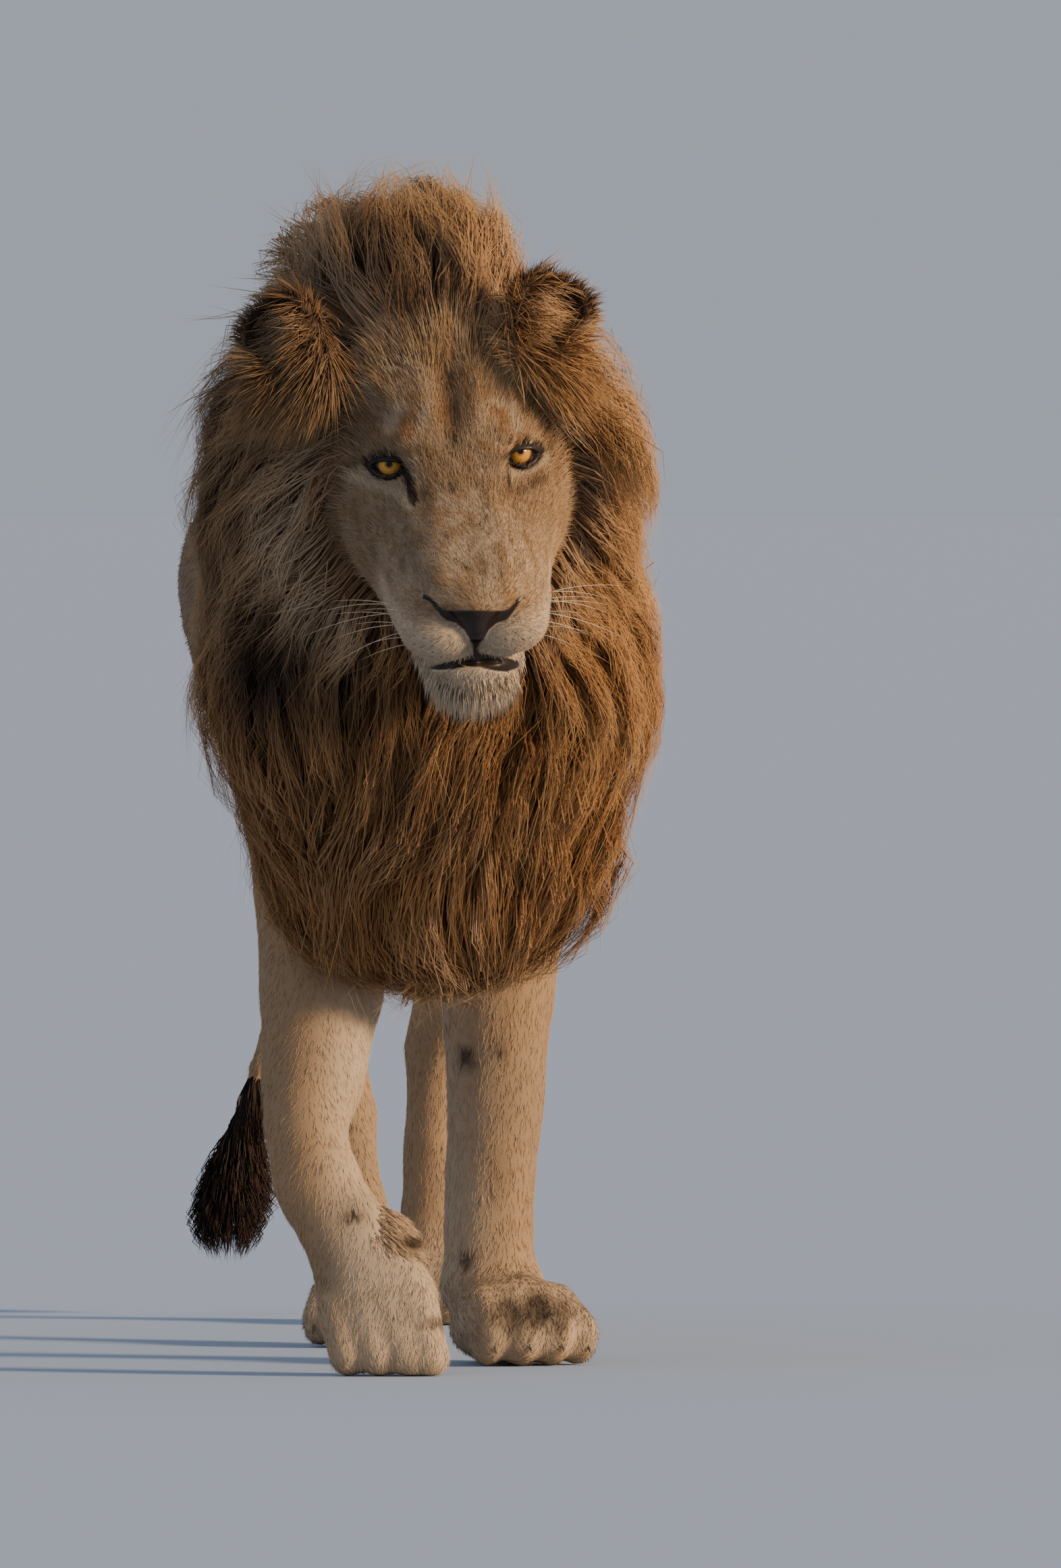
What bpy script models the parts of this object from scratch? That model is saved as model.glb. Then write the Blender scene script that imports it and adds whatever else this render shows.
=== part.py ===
"""A male lion in mid stride, life size: modelled whole, then parted with thin cuts.

The solid is the outline of the animal out to the tips of its coat.  The lion
faces -Y, its own left is +X, and it stands on the floor at Z = 0.
"""
import math

import bmesh
import bpy
from mathutils import Matrix, Vector

# ---------------------------------------------------------------- sizes (m)
WITHERS_HEIGHT = 1.08
CHEST_HALF_WIDTH = 0.185
CHEST_HALF_DEPTH = 0.245
LOIN_HALF_WIDTH = 0.172
RUMP_END = 1.14
EYE_SPACING = 0.1325
EYE_RADIUS = 0.0200
NOSE_REACH = 0.180
CHEEK_HALF_WIDTH = 0.128
EAR_RADIUS = 0.046
MANE_HALF_WIDTH = 0.222
FOREPAW_WIDTH = 0.140
HINDPAW_WIDTH = 0.122
TAIL_THICKNESS = 0.052
TUFT_THICKNESS = 0.086

# The head hangs nose down, turned a little to its left and tilted.
HEAD_AT = Vector((0.018, -0.420, 0.9235))
HEAD_PITCH = math.radians(35.0)
HEAD_YAW = math.radians(8.0)
HEAD_ROLL = math.radians(-5.5)

# Mesh quality
VOXEL = 0.008
SMOOTHING = 9
SWELL = 0.003
WANTED_TRIANGLES = 6450
FACE_WEIGHT = 0.74
PAW_WEIGHT = 0.78
PARTING_GAP = 0.0006
SOCKET_GAP = 0.0005
SOCKET_ROUNDING = 1.06

SIDE = Vector((1.0, 0.0, 0.0))


def mass(a, b, size_a, size_b, side=SIDE):
    """One muscle, bone or lock of mane: two ellipsoids and the hull around both.

    Sizes are (half width along side, half thickness across it).
    """
    return {"a": Vector(a), "b": Vector(b), "ra": size_a, "rb": size_b, "side": Vector(side)}


def chain(stations, side=SIDE):
    """Masses through a list of (x, y, z, half width, half thickness)."""
    pairs = zip(stations, stations[1:])
    return [mass(s[:3], e[:3], s[3:], e[3:], side) for s, e in pairs]


# ------------------------------------------------------------------- trunk
def trunk_masses():
    """Ribs, loin and pelvis, with the back line rising to the withers."""
    w, d = CHEST_HALF_WIDTH, CHEST_HALF_DEPTH
    body = chain([
        (-0.028, 0.00, 0.800, w * 0.78, d * 0.84),
        (-0.036, 0.20, 0.812, w * 0.95, d * 1.00),
        (-0.056, 0.48, 0.800, w * 1.02, d * 0.97),
        (-0.076, 0.76, 0.824, LOIN_HALF_WIDTH, 0.184),
        (-0.088, 0.97, 0.836, 0.148, 0.172),
        (-0.094, RUMP_END - 0.09, 0.860, 0.100, 0.120),
    ])
    top = WITHERS_HEIGHT
    spine = chain([
        (-0.030, 0.06, top - 0.060, 0.062, 0.060),
        (-0.042, 0.26, top - 0.072, 0.070, 0.060),
        (-0.066, 0.60, top - 0.090, 0.080, 0.060),
        (-0.088, 0.92, top - 0.090, 0.078, 0.060),
        (-0.094, RUMP_END - 0.06, top - 0.150, 0.060, 0.055),
    ])
    belly = chain([
        (-0.045, 0.30, 0.660, 0.110, 0.085),
        (-0.066, 0.60, 0.682, 0.118, 0.085),
        (-0.080, 0.84, 0.732, 0.090, 0.075),
    ])
    return body + spine + belly


# ---------------------------------------------------------------- forelegs
def shoulder_masses():
    """Shoulder blades and upper arms, one set on each side."""
    made = []
    for s, elbow in ((1, (0.072, 0.135, 0.515)), (-1, (-0.122, 0.055, 0.500))):
        blade = (-0.032 + s * 0.085, 0.150, 0.985)
        point = (-0.024 + s * 0.128, -0.035 if s > 0 else -0.060, 0.715)
        made.append(mass(blade, point, (0.062, 0.095), (0.066, 0.088)))
        made.append(mass(point, elbow, (0.066, 0.088), (0.068, 0.078)))
    return made


def standing_foreleg():
    """The left foreleg carries the weight: a straight column on a turned-out paw."""
    leg = chain([
        (0.072, 0.135, 0.515, 0.070, 0.080),
        (0.058, 0.140, 0.383, 0.0635, 0.070),
        (0.058, 0.145, 0.270, 0.0535, 0.058),
        (0.052, 0.150, 0.190, 0.0505, 0.052),
        (0.050, 0.152, 0.140, 0.0505, 0.050),
        (0.052, 0.145, 0.085, 0.0530, 0.046),
    ])
    return leg


def swinging_foreleg():
    """The right foreleg is lifted, its wrist folded and its toes just touching."""
    leg = chain([
        (-0.122, 0.055, 0.500, 0.072, 0.082),
        (-0.120, -0.015, 0.385, 0.0665, 0.070),
        (-0.128, -0.075, 0.302, 0.0570, 0.058),
        (-0.136, -0.120, 0.245, 0.0450, 0.050),
        (-0.124, -0.155, 0.195, 0.0480, 0.048),
    ])
    return leg


def paw(wrist, knuckles, toes_to, across, width, depth, toe_length):
    """A paw: a back of the hand, a heel pad and four toes side by side."""
    wrist, knuckles, toes_to = Vector(wrist), Vector(knuckles), Vector(toes_to)
    across = Vector(across).normalized()
    ahead = (toes_to - knuckles).normalized()
    half = width / 2
    made = [mass(wrist, knuckles, (half * 0.68, depth * 0.50), (half * 0.80, depth * 0.50), across)]
    toe = half * 0.315
    for place, reach in ((-0.72, 0.80), (-0.25, 1.0), (0.25, 1.0), (0.72, 0.80)):
        root = knuckles + across * (place * half * 0.86)
        tip = root + ahead * (toe_length * reach) + across * (place * half * 0.10)
        tip.z = toes_to.z
        made.append(mass(root, tip, (toe, depth * 0.46), (toe * 0.96, depth * 0.40), across))
    return made


def left_forepaw():
    """Flat on the floor and turned out."""
    turn = math.radians(24.0)
    ahead = Vector((math.sin(turn), -math.cos(turn), 0.0))
    across = Vector((math.cos(turn), math.sin(turn), 0.0))
    wrist = Vector((0.052, 0.145, 0.075))
    knuckles = wrist + ahead * 0.060 + Vector((0.004, 0.0, -0.026))
    made = paw(wrist, knuckles, knuckles + ahead * 0.05 - Vector((0, 0, 0.020)), across,
               FOREPAW_WIDTH, 0.078, 0.052)
    heel = wrist + ahead * 0.010 - Vector((0, 0, 0.040))
    made.append(mass(heel, heel + ahead * 0.05, (0.050, 0.036), (0.055, 0.034), across))
    return made


def right_forepaw():
    """Hanging from the folded wrist, toes down."""
    wrist = Vector((-0.122, -0.158, 0.188))
    knuckles = Vector((-0.064, -0.190, 0.082))
    tips = Vector((-0.045, -0.205, 0.022))
    along = (tips - wrist).normalized()
    across = Vector((along.z, 0.0, -along.x)) * -1.0
    made = paw(wrist, knuckles, tips, across, FOREPAW_WIDTH * 0.95, 0.074, 0.058)
    made.append(mass((-0.075, -0.165, 0.148), (-0.046, -0.160, 0.138), (0.032, 0.034), (0.028, 0.028)))
    return made


# --------------------------------------------------------------- hind legs
def hind_leg(hip, knee, hock, knuckles, thigh_width, knee_width):
    """Thigh, second thigh and long foot down to the knuckles."""
    hip, knee, hock, knuckles = Vector(hip), Vector(knee), Vector(hock), Vector(knuckles)
    calf = knee.lerp(hock, 0.35) + Vector((0.0, 0.022, 0.0))
    return [
        mass(hip, knee, (thigh_width, 0.150), (knee_width * 0.90, 0.074)),
        mass(hip + Vector((0, 0.06, -0.04)), calf, (thigh_width * 0.80, 0.110), (0.047, 0.062)),
        mass(knee, calf, (knee_width * 0.88, 0.073), (0.047, 0.062)),
        mass(calf, hock, (0.047, 0.062), (0.032, 0.040)),
        mass(hock, hock.lerp(knuckles, 0.5), (0.034, 0.043), (0.033, 0.034)),
        mass(hock.lerp(knuckles, 0.5), knuckles, (0.033, 0.034), (0.044, 0.036)),
    ]


def hind_paw(knuckles, turn_degrees, lift):
    """Four toes and a pad in front of the knuckles."""
    knuckles = Vector(knuckles)
    turn = math.radians(turn_degrees)
    ahead = Vector((math.sin(turn), -math.cos(turn), 0.0))
    across = Vector((math.cos(turn), math.sin(turn), 0.0))
    start = knuckles + ahead * 0.035 - Vector((0, 0, lift))
    made = paw(knuckles, start, start + ahead * 0.05 - Vector((0, 0, 0.016)), across,
               HINDPAW_WIDTH, 0.070, 0.048)
    pad = start - Vector((0, 0, 0.014))
    made.append(mass(pad, pad + ahead * 0.02, (0.042, 0.032), (0.045, 0.030), across))
    return made


RIGHT_KNUCKLES = (-0.078, 0.590, 0.062)
LEFT_KNUCKLES = (-0.016, 1.190, 0.066)


def right_hind_leg():
    return hind_leg((-0.186, 0.930, 0.790), (-0.150, 0.730, 0.545), (-0.100, 0.715, 0.235),
                    RIGHT_KNUCKLES, 0.098, 0.062)


def left_hind_leg():
    return hind_leg((0.012, 0.970, 0.785), (0.030, 0.900, 0.535), (-0.010, 1.170, 0.305),
                    LEFT_KNUCKLES, 0.092, 0.068)


# -------------------------------------------------------------------- tail
TAIL_LINE = [
    (-0.094, 1.080, 0.945), (-0.098, 1.165, 0.915), (-0.104, 1.235, 0.830),
    (-0.114, 1.285, 0.700), (-0.132, 1.325, 0.560), (-0.158, 1.360, 0.420),
    (-0.192, 1.390, 0.300), (-0.222, 1.410, 0.215),
]
TUFT_LINE = [(-0.222, 1.410, 0.215), (-0.236, 1.420, 0.140), (-0.243, 1.425, 0.062)]


def tail_masses():
    """A tail that thins toward its end, and the hanging tuft."""
    made = []
    count = len(TAIL_LINE) - 1
    thickness = [TAIL_THICKNESS / 2 * (1.25 - 0.72 * i / count) for i in range(count + 1)]
    for i in range(count):
        ends = (thickness[i], thickness[i]), (thickness[i + 1], thickness[i + 1])
        made.append(mass(TAIL_LINE[i], TAIL_LINE[i + 1], *ends))
    half = TUFT_THICKNESS / 2
    sizes = [(0.020, 0.020), (half, half), (half * 0.55, half * 0.55)]
    for i in range(2):
        made.append(mass(TUFT_LINE[i], TUFT_LINE[i + 1], sizes[i], sizes[i + 1]))
    return made


# -------------------------------------------------------------------- head
def head_turn():
    """Rotation from the level head to the carried head."""
    yaw = Matrix.Rotation(HEAD_YAW, 3, "Z")
    pitch = Matrix.Rotation(HEAD_PITCH, 3, "X")
    roll = Matrix.Rotation(HEAD_ROLL, 3, "Y")
    return yaw @ pitch @ roll


def head_point(x, y, z):
    """A point given from between the eyes: left, back and up of the level head."""
    return HEAD_AT + head_turn() @ Vector((x, y, z))


def head_mass(a, b, size_a, size_b):
    side = head_turn() @ SIDE
    return mass(head_point(*a), head_point(*b), size_a, size_b, side)


def head_masses():
    """Skull, cheeks, brows, muzzle with its two pads, nose, and chin."""
    reach = -NOSE_REACH
    cheek = CHEEK_HALF_WIDTH
    made = [
        head_mass((0, 0.030, -0.005), (0, 0.125, 0.024), (0.076, 0.046), (0.086, 0.062)),
        head_mass((0, 0.125, 0.010), (0, 0.200, 0.000), (0.090, 0.072), (0.100, 0.090)),
        head_mass((0, reach + 0.030, -0.055), (0, -0.020, -0.022), (0.041, 0.030), (0.048, 0.044)),
        head_mass((0, reach + 0.010, -0.060), (0, reach + 0.030, -0.056), (0.042, 0.020), (0.042, 0.024)),
        head_mass((0, -0.134, -0.138), (0, -0.040, -0.128), (0.043, 0.040), (0.066, 0.048)),
        head_mass((0, -0.060, -0.085), (0, 0.060, -0.085), (0.070, 0.058), (0.100, 0.078)),
    ]
    for s in (1, -1):
        made += [
            head_mass((s * 0.036, -0.140, -0.093), (s * 0.048, -0.070, -0.092),
                      (0.040, 0.037), (0.034, 0.046)),
            head_mass((s * 0.040, -0.010, 0.018), (s * 0.062, 0.050, 0.026), (0.026, 0.018), (0.036, 0.034)),
            head_mass((s * 0.070, 0.000, -0.046), (s * (cheek - 0.038), 0.075, -0.046),
                      (0.034, 0.030), (0.040, 0.050)),
            head_mass((s * 0.055, -0.020, -0.105), (s * (cheek - 0.042), 0.085, -0.095),
                      (0.037, 0.050), (0.046, 0.066)),
        ]
    return made


# -------------------------------------------------------------------- mane
def mane_masses():
    """The mane as one volume: crest, ruff on both sides, and the bib on the chest."""
    w = MANE_HALF_WIDTH
    crest = chain([
        (-0.006, -0.340, 1.070, 0.070, 0.058),
        (-0.024, -0.230, 1.118, 0.094, 0.078),
        (-0.048, -0.040, 1.100, 0.125, 0.080),
        (-0.044, 0.130, 1.050, 0.110, 0.072),
    ])
    core = [
        mass((-0.010, -0.215, 0.920), (-0.034, 0.060, 0.860), (w * 0.92, 0.205), (w * 0.86, 0.235)),
        mass((-0.012, -0.250, 0.905), (-0.008, -0.215, 0.700), (w * 0.98, 0.120), (w * 1.00, 0.125)),
        mass((-0.008, -0.215, 0.700), (0.002, -0.130, 0.545), (w * 1.00, 0.125), (0.180, 0.098)),
        mass((0.001, -0.140, 0.575), (0.001, -0.112, 0.505), (0.172, 0.085), (0.162, 0.046)),
        mass((0.012, -0.300, 0.770), (0.006, -0.250, 0.660), (0.130, 0.080), (0.140, 0.085)),
        mass((-0.110, -0.160, 1.035), (-0.100, 0.020, 1.000), (0.078, 0.075), (0.080, 0.080)),
    ]
    sides = [
        mass((0.094, -0.255, 0.975), (0.144, -0.090, 0.740), (0.074, 0.080), (0.070, 0.130)),
        mass((-0.138, -0.255, 0.990), (-0.164, -0.090, 0.740), (0.088, 0.085), (0.070, 0.130)),
    ]
    return crest + core + sides


# ----------------------------------------------------------- mesh building
def clear_scene():
    for obj in list(bpy.data.objects):
        bpy.data.objects.remove(obj, do_unlink=True)


def new_collection(name):
    made = bpy.data.collections.new(name)
    bpy.context.scene.collection.children.link(made)
    return made


def new_object(name, bm, collection):
    mesh = bpy.data.meshes.new(name)
    bm.to_mesh(mesh)
    bm.free()
    obj = bpy.data.objects.new(name, mesh)
    collection.objects.link(obj)
    return obj


def hull_mesh(m, fineness):
    """Hull of the two end ellipsoids of a mass, as a mesh."""
    along = m["b"] - m["a"]
    if along.length < 1e-5:
        along = Vector((0.0, 1.0, 0.0))
    w = along.normalized()
    u = (m["side"] - w * m["side"].dot(w)).normalized()
    v = w.cross(u)
    frame = Matrix((u, v, w)).transposed().to_4x4()
    bm = bmesh.new()
    for centre, (across, thick) in ((m["a"], m["ra"]), (m["b"], m["rb"])):
        sizes = Matrix.Diagonal((across + SWELL, thick + SWELL, (across + thick) / 2 + SWELL, 1.0))
        place = Matrix.Translation(centre) @ frame @ sizes
        bmesh.ops.create_icosphere(bm, subdivisions=fineness, radius=1.0, matrix=place)
    bmesh.ops.delete(bm, geom=bm.faces[:], context="FACES_ONLY")
    bmesh.ops.delete(bm, geom=bm.edges[:], context="EDGES_FACES")
    bmesh.ops.convex_hull(bm, input=bm.verts[:])
    bmesh.ops.delete(bm, geom=[v for v in bm.verts if not v.link_faces], context="VERTS")
    bmesh.ops.recalc_face_normals(bm, faces=bm.faces[:])
    mesh = bpy.data.meshes.new("hull")
    bm.to_mesh(mesh)
    bm.free()
    return mesh


def add_hull(bm, m, fineness=3):
    mesh = hull_mesh(m, fineness)
    bm.from_mesh(mesh)
    bpy.data.meshes.remove(mesh)


def apply_modifiers(obj):
    """Turn what the modifiers show into the object's own mesh."""
    graph = bpy.context.evaluated_depsgraph_get()
    graph.update()
    mesh = bpy.data.meshes.new_from_object(obj.evaluated_get(graph))
    obj.modifiers.clear()
    obj.data = mesh
    mesh.name = obj.name


def blend_together(obj):
    """Melt the overlapping hulls into one smooth skin."""
    remesh = obj.modifiers.new("melt", "REMESH")
    remesh.mode = "VOXEL"
    remesh.voxel_size = VOXEL
    smooth = obj.modifiers.new("soften", "SMOOTH")
    smooth.factor = 0.5
    smooth.iterations = SMOOTHING
    apply_modifiers(obj)


def thin_out(obj, wanted):
    """Fewer triangles, keeping more of them on the face and the paws."""
    group = obj.vertex_groups.new(name="plain")
    for v in obj.data.vertices:
        face = v.co.y < -0.34 and 0.66 < v.co.z < 1.02
        weight = FACE_WEIGHT if face else PAW_WEIGHT if v.co.z < 0.13 else 1.0
        group.add([v.index], weight, "REPLACE")
    triangles = sum(len(p.vertices) - 2 for p in obj.data.polygons)
    reduce = obj.modifiers.new("thin", "DECIMATE")
    reduce.ratio = wanted / triangles
    reduce.vertex_group = group.name
    reduce.use_collapse_triangulate = True
    apply_modifiers(obj)
    obj.vertex_groups.clear()


def cut(obj, cutter):
    """Take the cutter out of the object."""
    hollow = obj.modifiers.new("cut", "BOOLEAN")
    hollow.operation = "DIFFERENCE"
    hollow.solver = "EXACT"
    hollow.object = cutter
    apply_modifiers(obj)


def make_guide(obj):
    obj.hide_render = True
    obj.display_type = "WIRE"


def slab(name, centre, facing, size, guides):
    """A thin rectangular blade, its broad face turned to facing."""
    name = "blade_" + name
    facing = Vector(facing).normalized()
    turn = facing.to_track_quat("Z", "Y").to_matrix().to_4x4()
    sizes = Matrix.Diagonal((size[0], size[1], PARTING_GAP, 1.0))
    bm = bmesh.new()
    bmesh.ops.create_cube(bm, size=1.0, matrix=Matrix.Translation(centre) @ turn @ sizes)
    obj = new_object(name, bm, guides)
    make_guide(obj)
    return obj


def loose_parts(obj):
    """Faces of each separate body of the mesh."""
    bm = bmesh.new()
    bm.from_mesh(obj.data)
    bm.faces.ensure_lookup_table()
    seen = set()
    groups = []
    for start in bm.faces:
        if start.index in seen:
            continue
        seen.add(start.index)
        stack, group = [start], []
        while stack:
            face = stack.pop()
            group.append(face.index)
            for edge in face.edges:
                for other in edge.link_faces:
                    if other.index not in seen:
                        seen.add(other.index)
                        stack.append(other)
        groups.append(set(group))
    bm.free()
    return groups


def copy_faces(obj, wanted, name, collection):
    bm = bmesh.new()
    bm.from_mesh(obj.data)
    bm.faces.ensure_lookup_table()
    spare = [f for f in bm.faces if f.index not in wanted]
    bmesh.ops.delete(bm, geom=spare, context="FACES")
    return new_object(name, bm, collection)


# Where each blade cuts: centre, facing, size of the blade.
BLADES = {
    "nape": ((0.0, -0.275, 0.930), (0, 1, -0.30), (0.75, 0.84)),
    "shoulders": ((-0.02, 0.075, 0.860), (0, 1, -0.42), (0.75, 1.05)),
    "left_elbow": ((0.065, 0.140, 0.372), (0, 0, 1), (0.17, 0.22)),
    "right_elbow": ((-0.122, -0.024, 0.366), (0, 0.35, 1), (0.17, 0.22)),
    "left_wrist": ((0.052, 0.150, 0.118), (0, 0, 1), (0.16, 0.18)),
    "right_wrist": ((-0.128, -0.148, 0.212), (-0.25, 0.3, 1), (0.16, 0.18)),
    "right_thigh": ((-0.155, 0.800, 0.535), (0, -0.25, 1), (0.20, 0.46)),
    "left_thigh": ((0.026, 0.970, 0.500), (0, -0.10, 1), (0.19, 0.40)),
    "right_hock": ((-0.090, 0.650, 0.145), (0, 0.55, 1), (0.16, 0.16)),
    "left_hock": ((-0.012, 1.180, 0.150), (0, 0, 1), (0.16, 0.16)),
    "tail_root": ((-0.101, 1.205, 0.866), (0, 0.64, -0.77), (0.20, 0.22)),
    "tail_middle": ((-0.132, 1.325, 0.560), (-0.1, 0.26, -1), (0.16, 0.16)),
    "tuft_root": ((-0.215, 1.405, 0.236), (-0.3, 0.2, -1), (0.16, 0.16)),
}

# A point well inside each body, to tell them apart once they are cut.
INSIDE = {
    "head": head_point(0.0, -0.02, -0.04),
    "neck": Vector((-0.01, -0.12, 0.85)),
    "trunk": Vector((-0.06, 0.55, 0.80)),
    "foreleg_left": Vector((0.058, 0.145, 0.25)),
    "foreleg_right": Vector((-0.128, -0.075, 0.302)),
    "forepaw_left": Vector((0.070, 0.100, 0.045)),
    "forepaw_right": Vector((-0.075, -0.180, 0.100)),
    "hindleg_left": Vector((0.020, 1.010, 0.440)),
    "hindleg_right": Vector((-0.140, 0.740, 0.380)),
    "hindpaw_left": Vector((-0.016, 1.180, 0.070)),
    "hindpaw_right": Vector((-0.078, 0.580, 0.060)),
    "tail_base": Vector((-0.110, 1.265, 0.760)),
    "tail_middle": Vector((-0.158, 1.360, 0.420)),
    "tail_tuft": Vector((-0.236, 1.420, 0.140)),
}


def nearest_name(obj, faces):
    """The name whose inside point lies in the middle of these faces."""
    verts = {v for f in faces for v in obj.data.polygons[f].vertices}
    low = Vector([min(obj.data.vertices[v].co[i] for v in verts) for i in range(3)])
    high = Vector([max(obj.data.vertices[v].co[i] for v in verts) for i in range(3)])
    best, name = None, None
    for label, point in INSIDE.items():
        outside = sum(max(low[i] - point[i], 0.0, point[i] - high[i]) for i in range(3))
        off = (point - (low + high) / 2).length + outside * 100
        if best is None or off < best:
            best, name = off, label
    return name


def material(name, colour, roughness):
    made = bpy.data.materials.new(name)
    made.use_nodes = True
    surface = made.node_tree.nodes["Principled BSDF"]
    surface.inputs["Base Color"].default_value = (*colour, 1.0)
    surface.inputs["Roughness"].default_value = roughness
    return made


COLOURS = {
    "head": (0.42, 0.30, 0.17),
    "neck": (0.30, 0.17, 0.08),
    "trunk": (0.40, 0.29, 0.17),
    "foreleg_left": (0.46, 0.35, 0.22),
    "foreleg_right": (0.46, 0.35, 0.22),
    "forepaw_left": (0.50, 0.40, 0.27),
    "forepaw_right": (0.50, 0.40, 0.27),
    "hindleg_left": (0.42, 0.32, 0.20),
    "hindleg_right": (0.42, 0.32, 0.20),
    "hindpaw_left": (0.48, 0.38, 0.25),
    "hindpaw_right": (0.48, 0.38, 0.25),
    "tail_base": (0.38, 0.28, 0.17),
    "tail_middle": (0.36, 0.26, 0.15),
    "tail_tuft": (0.04, 0.025, 0.02),
    "ear_left": (0.20, 0.14, 0.09),
    "ear_right": (0.20, 0.14, 0.09),
    "eye_left": (0.60, 0.36, 0.08),
    "eye_right": (0.60, 0.36, 0.08),
}


# ------------------------------------------------------------ ears and eyes
EARS = {
    "ear_left": (Vector((0.1150, -0.372, 1.078)), Vector((0.20, -0.93, 0.30)), Vector((0.42, 0.0, 0.91))),
    "ear_right": (Vector((-0.1600, -0.378, 1.056)), Vector((-0.40, -0.86, 0.26)), Vector((-0.62, 0.0, 0.78))),
}


def build_ear(name, centre, opening, upward, parts, guides):
    """A round cupped ear: a rounded cone, scooped out from the front."""
    opening = opening.normalized()
    upward = (upward - opening * upward.dot(opening)).normalized()
    across = upward.cross(opening)
    root = centre - upward * (EAR_RADIUS * 1.05) - opening * 0.002
    bm = bmesh.new()
    add_hull(bm, mass(root, centre, (EAR_RADIUS * 0.80, 0.024), (EAR_RADIUS * 0.98, 0.026), across), 2)
    ear = new_object(name, bm, parts)
    scoop_at = centre + opening * (0.026 + 0.020)
    bm = bmesh.new()
    add_hull(bm, mass(scoop_at - upward * 0.030, scoop_at + upward * 0.002,
                      (EAR_RADIUS * 0.52, 0.034), (EAR_RADIUS * 0.86, 0.040), across), 2)
    scoop = new_object(name + "_scoop", bm, guides)
    make_guide(scoop)
    cut(ear, scoop)
    return ear


def grown_copy(obj, grow, guides):
    """A cutter that stands a hair's breadth proud of an object."""
    other = bpy.data.objects.new(obj.name + "_room", obj.data.copy())
    guides.objects.link(other)
    swell = other.modifiers.new("swell", "DISPLACE")
    swell.strength = grow
    swell.mid_level = 0.0
    apply_modifiers(other)
    make_guide(other)
    return other


def build_eye(name, s, parts, guides):
    """An eyeball, and the open socket that it needs in the head."""
    at = head_point(s * EYE_SPACING / 2, 0.0, 0.0) + head_turn() @ Vector((0.0, 0.010, 0.0))
    bm = bmesh.new()
    bmesh.ops.create_uvsphere(bm, u_segments=14, v_segments=9, radius=EYE_RADIUS,
                              matrix=Matrix.Translation(at))
    eye = new_object(name, bm, parts)
    front = at + head_turn() @ Vector((s * 0.012, -0.050, 0.006))
    bm = bmesh.new()
    room = EYE_RADIUS * SOCKET_ROUNDING + SOCKET_GAP
    add_hull(bm, mass(at, front, (room, room), (room * 0.85, room * 0.85)), 2)
    socket = new_object(name + "_socket", bm, guides)
    make_guide(socket)
    return eye, socket


# -------------------------------------------------------------- put together
def triangulated(obj):
    bm = bmesh.new()
    bm.from_mesh(obj.data)
    bmesh.ops.triangulate(bm, faces=bm.faces[:])
    bmesh.ops.dissolve_degenerate(bm, dist=0.00005, edges=bm.edges[:])
    bm.to_mesh(obj.data)
    bm.free()


def set_over_origin(nodes):
    """Bring the middle of the bounding box over the origin."""
    points = [v.co for obj in nodes for v in obj.data.vertices]
    low = Vector([min(p[i] for p in points) for i in range(3)])
    high = Vector([max(p[i] for p in points) for i in range(3)])
    shift = Vector((-(low.x + high.x) / 2, -(low.y + high.y) / 2, 0.0))
    for obj in nodes:
        obj.data.transform(Matrix.Translation(shift))


def main():
    clear_scene()
    parts = new_collection("lion")
    guides = new_collection("guides")

    masses = trunk_masses() + shoulder_masses() + standing_foreleg() + swinging_foreleg()
    masses += left_forepaw() + right_forepaw()
    masses += left_hind_leg() + hind_paw(LEFT_KNUCKLES, 4.0, 0.022)
    masses += right_hind_leg() + hind_paw(RIGHT_KNUCKLES, -6.0, 0.018)
    masses += tail_masses() + head_masses() + mane_masses()
    bm = bmesh.new()
    for m in masses:
        add_hull(bm, m)
    whole = new_object("whole", bm, guides)
    blend_together(whole)
    thin_out(whole, WANTED_TRIANGLES)

    bm = bmesh.new()
    floor = Matrix.Translation((0.0, 0.5, -0.25)) @ Matrix.Diagonal((4.0, 4.0, 0.5, 1.0))
    bmesh.ops.create_cube(bm, size=1.0, matrix=floor)
    below = new_object("below_floor", bm, guides)
    make_guide(below)
    cut(whole, below)

    ears = []
    for name, (centre, opening, upward) in EARS.items():
        ears.append(build_ear(name, centre, opening, upward, parts, guides))
    room = grown_copy(whole, PARTING_GAP, guides)
    for ear in ears:
        cut(ear, room)

    eyes = []
    for name, s in (("eye_left", 1), ("eye_right", -1)):
        eye, socket = build_eye(name, s, parts, guides)
        cut(whole, socket)
        eyes.append(eye)

    for name, (centre, facing, size) in BLADES.items():
        cut(whole, slab(name, centre, facing, size, guides))

    nodes = []
    for group in sorted(loose_parts(whole), key=len, reverse=True):
        name = nearest_name(whole, group)
        nodes.append(copy_faces(whole, group, name, parts))
    bpy.data.objects.remove(whole, do_unlink=True)

    nodes += ears + eyes
    for obj in nodes:
        triangulated(obj)
        obj.data.materials.clear()
        obj.data.materials.append(material("surface_" + obj.name, COLOURS[obj.name], 0.8))
        for p in obj.data.polygons:
            p.material_index = 0
    set_over_origin(nodes)


main()
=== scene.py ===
# %% [markdown]
# # A lion in mid stride
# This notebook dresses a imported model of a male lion: one skin over the whole
# body, then the coat, mane, eyes, nose and whiskers.  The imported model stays
# where it is and is only read, so every piece is placed from its boxes.

# %% Load the frame
import math
import bmesh
import bpy
import numpy as np
from mathutils import Matrix, Vector, bvhtree, kdtree


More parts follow.
